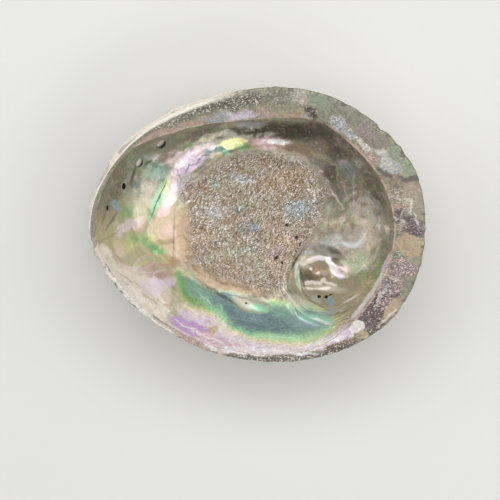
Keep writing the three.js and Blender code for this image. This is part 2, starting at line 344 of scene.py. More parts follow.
# Bright streak along the upper edge of the scar: pale lilac nacre with a painted highlight over it; its
# glint rows are painted highlights
BOWL_STREAK = (
    Patch("lilac", (190, 159), (25, 8), 37, 0.4, amount=0.8),
    Patch("lilac", (190, 162), (18, 6), 38, 0.25),
    Patch("rose", (176, 171), (5, 4), 50, 0.4, amount=0.6),
    Patch("violet", (183, 168), (7, 3), 38, 0.5, amount=0.35),
    Patch("blush", (203, 147), (10, 3), 36, 0.4, amount=0.6),
    Patch("silver", (206, 150), (6, 4), 30, 0.3),
    Patch("sky", (209, 148), (4, 3), 30, 0.3, amount=0.7),
    Patch("glint", (213, 145), (6, 2), 25, 0.4, amount=0.8),
    Patch("lemon", (232, 141), (14, 5), 10, 0.3),
    Patch("leaf", (243, 144), (7, 3.5), 10, 0.5, amount=0.7),
    Patch("jade", (220, 147.5), (6, 4), -12, 0.15),
    Patch("peach", (255, 141), (6, 5), 0, 0.5, amount=0.6),
    Patch("rose", (272, 141), (17, 5.5), -3, 0.5, amount=0.8),
    Patch("glint", (277, 139), (12, 2.4), -4, 0.4),
    Patch("taupe", (298, 147), (16, 5), -3, 0.6),
    Patch("straw", (216, 153), (6, 3), 20, 0.4),
    Patch("mint", (226, 150), (4, 2), -20, 0.4, amount=0.6),
    Patch("glint", (200, 153), (5, 1.2), 35, 0.4, amount=0.7),
    Patch("glint", (186, 163), (8, 1), 40, 0.4, amount=0.6),
    Patch("violet", (197, 160), (6, 2), 40, 0.4, amount=0.4),
)
# Pale lobe at the growing tip
BOWL_LEFT = (
    Patch("lilac", (127, 225), (14, 4.5), 33, 0.5, amount=0.55),
    Patch("blush", (144, 222), (11, 7), 10, 0.6, amount=0.45),
    Patch("straw", (158, 219), (13, 9), 80, 0.5, amount=0.7),
    Patch("leaf", (157, 222), (5, 3), 70, 0.5, amount=0.4),
    Patch("honey", (163, 229), (26, 11), 85, 0.5, amount=0.9),
    Patch("rose", (167, 230), (8, 9), 60, 0.6, amount=0.4),
    Patch("lemon", (140, 251), (24, 13), -10, 0.6, amount=0.3),
    Patch("leaf", (146, 242), (17, 6), -25, 0.5, amount=0.45),
    Patch("leaf", (151, 245), (13, 4.2), -26, 0.6, amount=0.75),
    Patch("straw", (140, 256), (19, 7), -5, 0.2, amount=0.8),
    Patch("honey", (166, 249), (15, 6), 95, 0.25, amount=0.8),
    Patch("mauve", (146, 270), (16, 3), 30, 0.2, amount=0.5),
    Patch("blush", (160, 270), (14, 6), 27, 0.12, amount=0.7),
    Patch("rose", (150, 268), (10, 2), 30, 0.3, amount=0.4),
    Patch("peach", (172, 261), (10, 5), 15, 0.3, amount=0.8),
    Patch("rose", (118, 243), (8, 4), -70, 0.7, amount=0.3),
    Patch("mauve", (119, 256), (9, 3), -65, 0.3, amount=0.5),
    Patch("straw", (111, 252), (12, 3), -60, 0.3, amount=0.8),
    Patch("cream", (103, 255), (12, 6), -62, 0.3, amount=0.7),
    Patch("straw", (112, 266), (14, 3), -55, 0.4, amount=0.7),
    Patch("rose", (128, 267), (13, 3), -50, 0.3, amount=0.5),
    Patch("cream", (138, 290), (42, 14), -36, 0.5, amount=0.8),
    Patch("pearl", (131, 281), (23, 7), -34, 0.4, amount=0.8),
    Patch("lilac", (160, 284), (17, 8), 14, 0.35, amount=0.65),
    Patch("peach", (164, 300), (8, 5), -30, 0.15, amount=0.35),
    Patch("cream", (147, 304), (28, 8), -38, 0.2, amount=0.7),
    Patch("straw", (140, 291), (20, 2), -40, 0.3, amount=0.5),
    Patch("sage", (180, 317), (16, 6), -10, 0.2, amount=0.35),
    Patch("violet", (170, 279), (5, 4), 30, 0.5, amount=0.3),
    Patch("straw", (172, 303), (10, 5), 100, 0.25, amount=0.4),
    Patch("lemon", (150, 236), (7, 2), -20, 0.6, amount=0.2),
    Patch("rose", (138, 262), (9, 2), 25, 0.6, amount=0.35),
    Patch("pearl", (122, 247), (7, 3), -60, 0.6, amount=0.3),
    Patch("taupe", (108, 236), (16, 0.8), 30, 0.4, amount=0.5),
    Patch("taupe", (128, 275), (18, 0.7), -40, 0.4, amount=0.4),
)
# Blue-green crescent below the scar, and the lip beyond it
BOWL_LOWER = (
    Patch("lilac", (240, 344), (72, 8), -4, 0.5, amount=0.8),
    Patch("pearl", (195, 311), (18, 7), -14, 0.3),
    Patch("lilac", (200, 318), (20, 6), -18, 0.3, amount=0.8),
    Patch("violet", (189, 327), (20, 7), -21, 0.3),
    Patch("honey", (208, 332), (6, 5), 20, 0.4, amount=0.5),
    Patch("rose", (205, 337), (9, 4), -20, 0.5),
    Patch("violet", (222, 343), (9, 4), -18, 0.4, amount=0.5),
    Patch("rose", (228, 347), (20, 4), -10, 0.5, amount=0.6),
    Patch("lemon", (197, 292), (30, 18), -42, 0.2, amount=0.5),
    Patch("lemon", (235, 311), (38, 19), -28, 0.2, amount=0.5),
    Patch("lemon", (284, 323), (54, 23), -3, 0.2, amount=0.7),
    Patch("leaf", (195, 290), (26, 14), -42, 0.2, amount=0.8),
    Patch("mint", (235, 311), (35, 16), -28, 0.2, amount=0.7),
    Patch("mint", (282, 322), (50, 20), -4, 0.2, amount=0.7),
    Patch("leaf", (186, 283), (13, 8), 100, 0.3, amount=0.8),
    Patch("jade", (188, 271), (8, 3), -35, 0.4, amount=0.6),
    Patch("teal", (200, 293), (20, 8), -38, 0.4, amount=0.8),
    Patch("teal", (234, 309), (31, 11), -30, 0.3),
    Patch("teal", (280, 321), (44, 14), -4, 0.3),
    Patch("slate", (228, 306), (20, 6), -32, 0.5, amount=0.8),
    Patch("slate", (262, 323), (28, 8), -8, 0.5, amount=0.9),
    Patch("sage", (207, 284), (14, 5), -36, 0.5, amount=0.9),
    Patch("lilac", (333, 338), (14, 4), 18, 0.4, amount=0.6),
    Patch("lilac", (346, 330), (12, 5), 38, 0.3),
    Patch("cream", (215, 327), (6, 3), -40, 0.4, amount=0.8),
    # Glint rows: painted highlights on the lip and the crescent
    Patch("glint", (250, 351), (44, 2.2), -2, 0.4),
    Patch("glint", (318, 343), (24, 2.2), 20, 0.4),
    Patch("glint", (186, 326), (11, 1), -26, 0.4, amount=0.7),
    Patch("glint", (213, 342), (11, 1.2), -20, 0.4, amount=0.7),
    Patch("glint", (237, 340), (9, 1), -20, 0.4, amount=0.7),
    Patch("glint", (222, 333), (5, 1.2), -45, 0.4, amount=0.7),
    Patch("glint", (197, 334), (8, 1), -28, 0.4, amount=0.7),
    Patch("glint", (232, 349), (10, 1.2), -8, 0.4, amount=0.8),
    Patch("honey", (212, 330), (5, 4), 30, 0.4, amount=0.5),
    Patch("cream", (226, 325), (5, 2), -40, 0.4, amount=0.7),
    Patch("mint", (200, 297), (7, 0.7), -55, 0.4, amount=0.5),
    Patch("cream", (208, 303), (7, 0.6), -40, 0.4, amount=0.5),
    Patch("mint", (222, 312), (8, 0.7), -45, 0.4, amount=0.6),
    Patch("mint", (240, 327), (9, 0.8), -20, 0.4, amount=0.6),
    Patch("sky", (255, 322), (9, 0.8), -15, 0.4, amount=0.5),
    Patch("jade", (192, 276), (7, 1), -45, 0.4, amount=0.6),
    Patch("sage", (205, 289), (9, 1.2), -35, 0.4, amount=0.6),
)
# Smoky wall at the right; its thin pale strokes are painted reflections
BOWL_RIGHT = (
    Patch("smoke", (345, 185), (50, 22), 100, 0.7, amount=0.5),
    Patch("sand", (318, 151), (14, 3), -20, 0.6, amount=0.8),
    Patch("umber", (338, 150), (9, 6), -30, 0.7, amount=0.6),
    Patch("silver", (346, 161), (7, 3), -30, 0.7, amount=0.5),
    Patch("umber", (335, 171), (8, 7), 80, 0.7, amount=0.7),
    Patch("slate", (355, 168), (7, 6), 70, 0.8, amount=0.4),
    Patch("umber", (337, 186), (9, 8), 90, 0.8, amount=0.4),
    Patch("umber", (377, 190), (22, 6), 105, 0.7, amount=0.6),
    Patch("sand", (350, 196), (16, 1.6), 98, 0.7, amount=0.6),
    Patch("sand", (362, 200), (18, 1.4), 80, 0.7, amount=0.5),
    Patch("sage", (334, 211), (10, 6), 100, 0.7, amount=0.5),
    Patch("smoke", (345, 206), (9, 8), 90, 0.7, amount=0.5),
    Patch("sand", (345, 222), (22, 6), 0, 0.7, amount=0.8),
    Patch("silver", (333, 241), (12, 6), 20, 0.7, amount=0.6),
    Patch("slate", (322, 251), (14, 4), 10, 0.6, amount=0.6),
    Patch("blush", (368, 235), (12, 6), 98, 0.7, amount=0.4),
    Patch("olive", (380, 250), (8, 7), 90, 0.7, amount=0.7),
    Patch("leaf", (364, 268), (13, 7), 95, 0.7, amount=0.3),
    Patch("honey", (373, 248), (6, 4), 90, 0.6, amount=0.5),
    Patch("straw", (372, 290), (11, 8), 40, 0.6, amount=0.6),
    Patch("sand", (331, 158), (14, 1.2), -35, 0.6, amount=0.6),
    Patch("sand", (342, 175), (10, 1), -80, 0.6, amount=0.5),
    Patch("silver", (357, 188), (16, 1), 85, 0.6, amount=0.4),
    Patch("pearl", (340, 199), (9, 1), -50, 0.6, amount=0.4),
    Patch("sand", (372, 215), (18, 1.2), 95, 0.6, amount=0.5),
    Patch("umber", (380, 205), (14, 2), 100, 0.7, amount=0.4),
    Patch("silver", (340, 247), (12, 1.2), 20, 0.6, amount=0.5),
    Patch("leaf", (382, 268), (8, 4), 80, 0.7, amount=0.4),
)
# Blister, dimple, pocket under the spire, and the bright edge beside it, which is a painted highlight
# along the lip
POCKET = (
    Patch("sage", (251, 305.5), (20, 9), -15, 0.12),
    Patch("pearl", (251, 305), (17, 7), -15, 0.4, amount=0.45),
    Patch("mint", (260, 309), (9, 3.5), -18, 0.5, amount=0.7),
    Patch("pearl", (244, 302), (9, 3), -18, 0.6, amount=0.6),
    # Painted C-shaped highlight on the dimple's lower edge: a pale oval with its upper part painted over
    Patch("silver", (355, 238.5), (12, 9), 0, 0.3, amount=0.9),
    Patch("ash", (354.5, 234), (10, 8), 0, 0.35),
    Patch("sand", (326, 284), (30, 20), -10, 0.6, amount=0.7),
    Patch("sage", (299, 276), (13, 4), 95, 0.4, amount=0.8),
    Patch("silver", (301, 268), (8, 3), 70, 0.5, amount=0.6),
    # Painted shade in the recess above the roll
    Patch("smoke", (330, 252), (18, 5.5), -20, 0.5, amount=0.9),
    Patch("umber", (338, 255), (9, 3), -30, 0.6, amount=0.6),
    Patch("taupe", (318, 271), (13, 8), -5, 0.5, amount=0.9),
    Patch("umber", (315, 275), (10, 4.5), 0, 0.7, amount=0.45),
    Patch("umber", (309, 279), (5, 3), -20, 0.6, amount=0.5),
    Patch("sand", (319, 265), (9, 3), 8, 0.5, amount=0.7),
    Patch("peach", (320, 271), (5, 3), 20, 0.6, amount=0.35),
    Patch("cream", (313, 269.5), (1.6, 1.2), 0, 0.5, amount=0.7),
    Patch("cream", (321, 273), (1.8, 1), 30, 0.5, amount=0.6),
    # Painted highlight on the roll beside the pit
    Patch("pearl", (313, 260.5), (8, 2.6), 18, 0.5),
    Patch("glint", (325, 258.5), (7, 2.2), -8, 0.5, amount=0.8),
    Patch("glint", (332, 263), (6, 2.8), -48, 0.4, amount=0.9),
    Patch("glint", (337, 270), (7, 3.4), -52, 0.4),
    Patch("lilac", (342, 275.5), (4.5, 3), -35, 0.5),
    Patch("rose", (346, 268), (4, 5), 60, 0.7, amount=0.6),
    Patch("leaf", (349, 264), (3, 5), 70, 0.8, amount=0.3),
    Patch("cream", (311, 283.5), (6, 1.7), 10, 0.4),
    Patch("cream", (319, 284.5), (5, 1.8), -14, 0.4),
    Patch("cream", (324.5, 281.5), (3.5, 1.7), 42, 0.5),
    Patch("cream", (331, 284), (7, 1.6), -18, 0.4),
    Patch("pearl", (328, 289), (16, 3), -8, 0.7, amount=0.5),
    Patch("silver", (318, 300.5), (5, 3.5), -20, 0.4, amount=0.6),
    Patch("sky", (332, 303), (5, 4), -30, 0.25, amount=0.8),
    Patch("straw", (354, 296), (11, 3), 30, 0.5, amount=0.6),
    Patch("cream", (352, 300), (9, 1.2), 28, 0.5, amount=0.6),
    Patch("pearl", (299, 303), (12, 5), -22, 0.6, amount=0.5),
    Patch("sky", (312, 322), (20, 8), 3, 0.5, amount=0.6),
    Patch("mint", (316, 320), (14, 3.5), -8, 0.5, amount=0.5),
    # Painted highlight on the pale swirl
    Patch("glint", (322, 322), (10, 1.4), -18, 0.5, amount=0.6),
    Patch("sky", (330, 314), (8, 4), 25, 0.5, amount=0.5),
    # Painted highlight along the ledge's inner edge, where the rounded lip catches the light
    Patch("lilac", (388, 265), (13, 2), 69, 0.4, amount=0.7),
    Patch("glint", (380, 283), (10, 2), 60, 0.5, amount=0.7),
    Patch("glint", (370, 298), (11, 2), 50, 0.5, amount=0.7),
    Patch("glint", (359, 312), (9, 2), 48, 0.5, amount=0.7),
)
# Stains and pale chips of the muscle scar
SCAR = (
    Patch("teal", (214.3, 184.4), (5, 4.5), 0, 0.5),
    Patch("silver", (245, 177), (14, 5), -15, 0.8),
    Patch("jade", (240.5, 208.5), (7, 4.5), 0, 0.5),
    Patch("silver", (213, 211), (12, 5), 0, 0.8),
    Patch("slate", (248.8, 226), (10, 5), -10, 0.5),
    Patch("sky", (301.8, 208.3), (14, 9), 30, 0.7),
    Patch("peach", (285, 178.2), (24, 8), 12, 0.8, amount=0.6),
    Patch("sage", (246.1, 249.8), (12.4, 5), 10, 0.8),
    Patch("peach", (286, 255), (16, 18), 30, 0.8, amount=0.5),
    Patch("mauve", (279.7, 251.6), (8, 6), 0, 0.8),
    Patch("cream", (286.8, 149.9), (16, 5), -10, 0.8),
    Patch("silver", (300, 268.4), (16, 5), 60, 0.6),
    Patch("cream", (181, 187), (7, 1.2), 50, 0.5),
    Patch("cream", (188, 198), (5, 1.2), 40, 0.5),
    Patch("cream", (303, 160), (6, 1.2), -40, 0.5),
    Patch("cream", (311, 186), (9, 1.4), -60, 0.5),
    Patch("cream", (304, 262), (14, 1.6), 58, 0.5),
    Patch("umber", (299, 251), (9, 1.2), 60, 0.5),
    Patch("jade", (212, 240), (4, 3), 0, 0.5),
    Patch("peach", (200, 236), (11, 6), 0, 0.8, amount=0.6),
    Patch("umber", (196, 180), (8, 1), 40, 0.5, amount=0.7),
)
# Strip along the scar's edge: a grain of 1 draws that edge in, and one of -1 pushes it out
MARGIN = (
    Patch("peach", (184, 241), (30, 8), 94, 0.6, grain=1),
    Patch("peach", (202, 275), (20, 6), -30, 0.6, grain=1),
    Patch("peach", (230, 286), (26, 7), -12, 0.6, grain=1),
    Patch("olive", (184, 243), (34, 10), 94, 0.6, grain=1, amount=0.4),
    Patch("olive", (216, 280), (34, 8), -22, 0.6, grain=1, amount=0.5),
    Patch("silver", (184, 187), (9, 13), -20, 0.5, grain=-1),
)
# Borings, cracks and seams of the bowl
MARKS = (
    Patch("ink", (288, 225), (2.2, 1.8), 0, 0.3),
    Patch("ink", (298, 237), (2.2, 1.6), 40, 0.3),
    Patch("ink", (277, 258), (2.6, 1.5), 30, 0.3),
    Patch("ink", (321, 297.5), (2, 1.2), 15, 0.3),
    Patch("ink", (328, 298), (1.8, 1.6), -30, 0.3),
    Patch("ink", (332.5, 296.5), (1.8, 0.9), 10, 0.3),
    Patch("ink", (246, 305), (1.4, 1.1), 0, 0.3),
    Patch("umber", (157, 197), (21, 0.9), 67, 0.4, amount=0.8),
    Patch("umber", (172, 238), (24, 0.9), 88, 0.4, amount=0.4),
    Patch("umber", (203, 168), (24, 1.2), 39, 0.5, amount=0.5),
    Patch("umber", (177, 172), (7, 0.8), 110, 0.4, amount=0.4),
    Patch("umber", (216, 293), (26, 1.3), -33, 0.5, amount=0.6),
    Patch("umber", (235, 297), (16, 0.9), -14, 0.5, amount=0.5),
    Patch("umber", (299, 258), (12, 1.3), 60, 0.5, amount=0.8),
    Patch("umber", (304, 279), (11, 1), 105, 0.4, amount=0.7),
    Patch("umber", (318, 305), (12, 1), -24, 0.5, amount=0.4),
    Patch("umber", (348, 301), (10, 0.9), 34, 0.5, amount=0.35),
    Patch("umber", (131, 176), (7, 1.2), 70, 0.5, amount=0.6),
    Patch("umber", (144, 164), (3, 2), 30, 0.5, amount=0.6),
    Patch("smoke", (104, 214), (10, 1.2), 75, 0.5, amount=0.7),
    Patch("smoke", (110, 221), (10, 1.2), 60, 0.5, amount=0.7),
    Patch("umber", (186, 166), (6, 0.6), 60, 0.4, amount=0.5),
    Patch("umber", (193, 162), (6, 0.6), 20, 0.4, amount=0.5),
    Patch("umber", (199, 157), (7, 0.6), 50, 0.4, amount=0.5),
    Patch("umber", (205, 153), (5, 0.7), 10, 0.4, amount=0.5),
    Patch("umber", (213, 148), (4, 0.8), 40, 0.4, amount=0.5),
    Patch("umber", (147, 161), (3, 1.4), 30, 0.4, amount=0.7),
    Patch("umber", (132, 169), (5, 0.8), 75, 0.4, amount=0.6),
    Patch("ink", (240, 190), (1, 1), 0, 0.4),
    Patch("ink", (236, 233), (1.3, 0.8), 30, 0.4),
    Patch("ink", (200, 228), (1.7, 0.8), -20, 0.4),
    Patch("ink", (302, 243), (1.7, 1), 50, 0.4),
    Patch("ink", (283, 263), (2.2, 0.8), -40, 0.4),
)
# Blocks, chips and lines of the ledge; its glint rows are painted highlights along the lip
LEDGE = (
    Patch("olive", (180, 112), (50, 9), 24, 0.4, grain=0.9),
    Patch("blush", (178, 128), (34, 3), 17, 0.25),
    Patch("blush", (143.6, 142), (10.6, 3), 38, 0.3),
    Patch("smoke", (227.6, 102), (40, 7), 6, 0.4, grain=1),
    Patch("silver", (224, 116.3), (20, 4.5), 9, 0.4, amount=0.7, grain=0.2),
    Patch("lilac", (242.6, 114.5), (15, 4), 4, 0.25, amount=0.7),
    Patch("blush", (265.6, 113), (10.6, 4), -6, 0.15, amount=0.8),
    Patch("straw", (283, 113.7), (9, 3.5), 0, 0.2, amount=0.7),
    Patch("honey", (297, 114.6), (8, 4), -5, 0.3),
    Patch("silver", (308.9, 120), (9, 3), -18, 0.2),
    Patch("olive", (283, 96), (20, 8), 0, 0.5, grain=0.4),
    Patch("pearl", (301, 97), (9, 7), -20, 0.3, grain=0.6, amount=0.5),
    Patch("plum", (311, 112), (7, 6), -50, 0.25, grain=0.8),
    Patch("umber", (314, 116), (4, 3), -40, 0.3, amount=0.7),
    Patch("sage", (325, 101), (18, 8), -15, 0.4),
    Patch("olive", (352, 113), (24, 10), -28, 0.4),
    Patch("umber", (380, 126), (4, 3), -35, 0.3, amount=0.7),
    Patch("ash", (374, 138), (17, 9), -25, 0.3),
    Patch("mauve", (365, 131), (10, 6), -30, 0.4, amount=0.4),
    Patch("sage", (403, 160), (20, 10), -62, 0.3),
    Patch("straw", (399, 168), (9, 5), -60, 0.5, amount=0.5),
    Patch("silver", (339, 123), (11, 6), -40, 0.2, grain=0.7),
    Patch("silver", (352, 134), (9, 4), -42, 0.3, grain=0.8),
    Patch("pearl", (364, 145), (9, 3.5), -35, 0.3, grain=0.9),
    Patch("blush", (371, 157), (7, 5), -45, 0.3, grain=0.7, amount=0.8),
    Patch("cream", (382, 153), (7, 3), -20, 0.5, amount=0.8),
    Patch("silver", (390, 166), (14, 8), -52, 0.2, grain=0.5),
    Patch("pearl", (388, 163), (8, 4), -52, 0.4, grain=0.3, amount=0.6),
    Patch("taupe", (396, 180), (20, 4.5), -10, 0.25),
    Patch("umber", (410, 179.5), (10, 3.2), -3, 0.3, amount=0.8),
    Patch("umber", (385, 173), (10, 2.4), -35, 0.4, amount=0.7),
    Patch("blush", (410, 192), (11, 8), -8, 0.1, amount=0.6),
    Patch("sand", (394, 195), (11, 9), -10, 0.3, grain=0.8),
    Patch("umber", (397, 186), (8, 1.6), -15, 0.4, amount=0.5),
    Patch("blush", (402, 206), (11, 4), -10, 0.25, grain=0.8, amount=0.8),
    Patch("sand", (418, 211), (14, 6), 100, 0.15),
    Patch("plum", (408, 224), (18, 6.5), -38, 0.1, grain=0.5),
    Patch("sand", (398, 228), (8, 5), -10, 0.3, grain=0.5),
    Patch("umber", (411, 234), (14, 1.2), -14, 0.3, amount=0.6),
    Patch("honey", (409, 246), (16, 11), -4, 0.05),
    Patch("straw", (409, 243), (14, 2), -4, 0.4, amount=0.6),
    Patch("sage", (395, 255), (5, 4), 0, 0.4, grain=0.8),
    Patch("mauve", (402, 267), (16, 8), -15, 0.2, grain=1, amount=0.8),
    Patch("mauve", (391, 285), (16, 11), 60, 0.3, grain=1, amount=0.8),
    Patch("slate", (389, 286), (8, 5), 60, 0.5, grain=1, amount=0.4),
    Patch("olive", (410, 284), (8, 6), 65, 0.15),
    Patch("plum", (396, 295), (8, 3), 20, 0.3, grain=0.8),
    Patch("plum", (371, 310), (20, 14), 48, 0.12, grain=0.9),
    Patch("mauve", (386, 304), (7, 5), 40, 0.3, grain=1, amount=0.8),
    Patch("honey", (393, 309), (14, 5), 47, 0.05),
    Patch("umber", (377, 328), (10, 4), 35, 0.3, grain=0.9),
    Patch("cream", (357, 328), (9, 6), 40, 0.08),
    Patch("honey", (364, 335), (6, 4.5), 30, 0.06),
    Patch("lilac", (338, 338), (20, 5), 28, 0.4, amount=0.8),
    Patch("taupe", (340, 346), (22, 3.6), 24, 0.3, grain=1),
    # Glint rows here: painted highlights along the lip
    Patch("glint", (326, 343.5), (20, 1.8), 21, 0.4),
    Patch("umber", (334, 351), (22, 3), 20, 0.4, grain=1, amount=0.8),
    Patch("smoke", (300, 358), (32, 4), 4, 0.4, grain=1),
    Patch("pearl", (250, 352), (42, 3), -3, 0.4),
    Patch("smoke", (252, 359.5), (40, 3), -2, 0.4, grain=1),
    Patch("glint", (266, 353), (46, 2.2), -1, 0.4),
    Patch("smoke", (290, 359), (46, 2), 3, 0.4, grain=1),
    Patch("blush", (196, 343), (28, 5), -25, 0.4, grain=0.4),
    Patch("glint", (211, 347), (7, 2.4), -20, 0.4, amount=0.8),
    Patch("taupe", (190, 347), (26, 1.6), -26, 0.4, grain=0.7),
    Patch("cream", (155, 326), (30, 6), -38, 0.3, grain=0.5),
    Patch("umber", (188, 348), (8, 1.6), -24, 0.3, amount=0.8),
    Patch("umber", (208, 355), (9, 1.6), -16, 0.3, amount=0.7),
    Patch("umber", (232, 358), (12, 1.6), -8, 0.4, amount=0.6),
    # Pale line along the lip: pale nacre with a painted highlight
    Patch("cream", (125, 293), (50, 5), -46, 0.3, grain=0.35),
    Patch("umber", (113, 283), (6, 1.5), -52, 0.3, amount=0.7),
    Patch("umber", (120, 292), (3, 1.4), -48, 0.3, amount=0.7),
    Patch("umber", (134, 307), (7, 1.6), -42, 0.3, amount=0.7),
    Patch("umber", (152, 324), (5, 1.4), -38, 0.3, amount=0.7),
    Patch("umber", (168, 336), (6, 1.5), -33, 0.3, amount=0.7),
    Patch("pearl", (100, 250), (14, 5), 110, 0.4),
    Patch("olive", (93, 215), (32, 5), 86, 0.4),
    Patch("mauve", (93, 243), (6, 3), 20, 0.4),
    Patch("umber", (346, 104), (5, 2), -20, 0.3, amount=0.8),
    Patch("umber", (360, 111), (4, 2), -28, 0.3, amount=0.8),
    Patch("umber", (394, 139), (4, 2.4), -50, 0.3, amount=0.8),
    Patch("umber", (404, 155), (4, 2.4), -62, 0.3, amount=0.8),
    Patch("olive", (292, 106), (12, 3), 0, 0.4, amount=0.6),
    Patch("honey", (296, 110), (8, 2.5), 0, 0.4, amount=0.6),
    Patch("plum", (400, 215), (7, 6), -40, 0.2, grain=0.5),
    Patch("plum", (418, 222), (5, 4), 0, 0.3, amount=0.7, grain=0.6),
    Patch("cream", (405, 199), (10, 1.2), -15, 0.4, amount=0.6),
    Patch("cream", (412, 206), (7, 1), 80, 0.4, amount=0.7),
    Patch("cream", (415, 219), (7, 1), -55, 0.4, amount=0.7),
    Patch("cream", (399, 219), (9, 1.4), -40, 0.4, amount=0.6),
    Patch("cream", (380, 297), (9, 1.4), 60, 0.4, amount=0.6),
    Patch("cream", (392, 276), (10, 1.4), -20, 0.4, amount=0.5),
    Patch("umber", (372, 322), (12, 1.6), 40, 0.4, amount=0.6),
    Patch("cream", (387, 318), (13, 1.4), 45, 0.4, amount=0.6),
)

# Hues of the pearly sheen, in order
SHEEN_HUES = ("rose", "lilac", "sky", "mint", "leaf", "lemon", "peach")

# Where the nacre is smoothest: only the outline of this patch is used, not its colour
SMOOTH_LOBE = Patch("straw", (142, 249), (56.6, 53), 0, 0.4, amount=0.8)

# Bands of the outside: colour, range of the banding noise that it comes in over, and strength
OUTSIDE_BANDS = (
    ("sage", 0.55, 0.62, 0.45),
    ("blush", 0.63, 0.7, 0.5),
    ("sand", 0.45, 0.38, 0.5),
    ("mauve", 0.37, 0.3, 0.6),
)


# Settings


def length_setting(name, description, default):
    return FloatProperty(name=name, description=description, default=default, min=0, unit="LENGTH")


def share_setting(name, description, default):
    return FloatProperty(
        name=name, description=description, default=default, min=0, max=1, subtype="FACTOR"
    )


def power_setting(name, description, default):
    return FloatProperty(name=name, description=description, default=default, min=0, unit="POWER")


def colour_setting(name, description, default):
    return FloatVectorProperty(
        name=name, description=description, default=default, size=3, min=0, max=1, subtype="COLOR_GAMMA"
    )


class ShellSizes(bpy.types.PropertyGroup):
    """Heights and reliefs of the shell."""

    rim_height: length_setting("Rim height", "Height of the rim at both ends of the shell", SHELL_HIGH.z)
    rim_arch: length_setting("Rim arch", "How much lower the rim lies at the shell's sides", 0.006)
    floor_height: length_setting("Floor height", "Height of the bowl's floor over the crown", 0.005)
    ledge_drop: length_setting("Ledge drop", "How far the broad ledge slopes down to the bowl", 0.0025)
    scar_lift: length_setting("Scar lift", "How far the muscle scar stands proud of the bowl", 0.0013)
    pocket_depth: length_setting("Pocket depth", "Depth of the hollow under the spire", 0.0032)
    pit_depth: length_setting("Pit depth", "Depth of the pit in the pocket", 0.0034)
    curl_lift: length_setting("Curl lift", "Height of the ridge that curls round the pocket", 0.0016)
    spire_lift: length_setting("Spire lift", "Height of the spire on the outside", 0.0032)
    row_lift: length_setting("Bump lift", "Height of the row of pore bumps on the outside", 0.0024)
    swell_lift: length_setting("Swell lift", "Height of the ribs that fan out from the spire", 0.0006)
    ring_lift: length_setting("Ring lift", "Height of the growth rings on the outside", 0.00025)


class ShellColours(bpy.types.PropertyGroup):
    """Colours that the shell's patches are painted with."""

    __annotations__ = {key: colour_setting(key.capitalize(), *about) for key, about in COLOURS.items()}


class ShellFinish(bpy.types.PropertyGroup):
    """Polish of the shell."""

    nacre_metallic: share_setting("Nacre metallic", "How metallic the polished nacre is", 0.25)
    grain_metallic: share_setting("Grain metallic", "How metallic the granular scar and ledge are", 0.1)
    nacre_roughness: share_setting("Nacre roughness", "Roughness of the polished nacre", 0.24)
    grain_roughness: share_setting("Grain roughness", "Roughness of the granular scar and ledge", 0.5)
    ledge_shade: share_setting("Ledge shade", "Share of its colours' light that the ledge keeps", 0.62)
    coat: share_setting("Coat", "Weight of the clear polish over the nacre", 0.5)
    bump: share_setting("Bump", "Strength of the fine relief", 0.5)


class StageSettings(bpy.types.PropertyGroup):
    """Floor, lights and camera."""

    floor_colour: colour_setting("Floor colour", "Colour of the pale floor", (0.84, 0.84, 0.83))
    world_colour: colour_setting("World colour", "Colour of the light from all round", (1.0, 1.0, 1.0))
    world_strength: FloatProperty(
        name="World strength", description="Strength of the light from all round", default=0.3, min=0
    )
    key_power: power_setting("Key power", "Power of the light beyond the broad ledge", 9)
    side_power: power_setting("Side power", "Power of each of the two lights at the sides", 7)
    front_power: power_setting("Front power", "Power of the light before the lip", 5)
    top_power: power_setting("Top power", "Power of the light over the shell", 6)
    camera_height: length_setting("Camera height", "Height of the camera over the rim", 1.6)
    view_width: length_setting("View width", "Width of the view at the height of the rim", 0.28275)


# Shape


def around(stations, degrees):
    """Values at these angles on the smooth closed curve through (angle, value) stations."""
    angles, values = np.array(stations, float).T
    count = len(angles)
    at = np.mod(degrees, 360)
    here = np.searchsorted(angles, at, side="right") - 1

    def station(i):
        return angles[i % count] + 360 * (i // count), values[i % count]

    def slope(i):
        before, after = station(i - 1), station(i + 1)
        return (after[1] - before[1]) / (after[0] - before[0])

    start, low = station(here)
    end, high = station(here + 1)
    span, rise = end - start, high - low
    t = (at - start) / span
    bend_low = slope(here) * span - rise
    bend_high = rise - slope(here + 1) * span
    return low + rise * t + t * (1 - t) * (bend_low * (1 - t) + bend_high * t)


def smoothstep(value, low, high):
    t = np.clip((value - low) / (high - low), 0, 1)
    return t * t * (3 - 2 * t)


def mound(distance, radius):
    return 1 - smoothstep(distance, 0, radius)


def bell(offset, width):
    return np.exp(-((offset / width) ** 2))


def between(turn, span, fade):
    """How much of a feature shows at these turns, when it fades out at both ends of its span."""
    return smoothstep(turn, span[0], span[0] + fade) * (1 - smoothstep(turn, span[1] - fade, span[1]))


def towards(degrees, distance):
    turn = np.radians(degrees)
    return np.stack((np.cos(turn), np.sin(turn)), -1) * np.asarray(distance)[..., None]


def polar(arm):
    """Length and angle, from 0 to 360 degrees, of plan vectors."""
    turn = np.degrees(np.arctan2(arm[..., 1], arm[..., 0]))
    return np.hypot(arm[..., 0], arm[..., 1]), np.mod(turn, 360)


def in_oval(plan, at, size, turn):
    """Distance of plan points from an oval's middle, which is 1 on its edge."""
    arm = plan - np.array(at, float)
    c, s = math.cos(math.radians(turn)), math.sin(math.radians(turn))
    along = (arm[..., 0] * c + arm[..., 1] * s) / size[0]
    across = (arm[..., 1] * c - arm[..., 0] * s) / size[1]
    return np.hypot(along, across)


def rim_height(degrees, sizes):
    return (sizes.rim_height - sizes.rim_arch * np.sin(np.radians(degrees)) ** 2) / MM


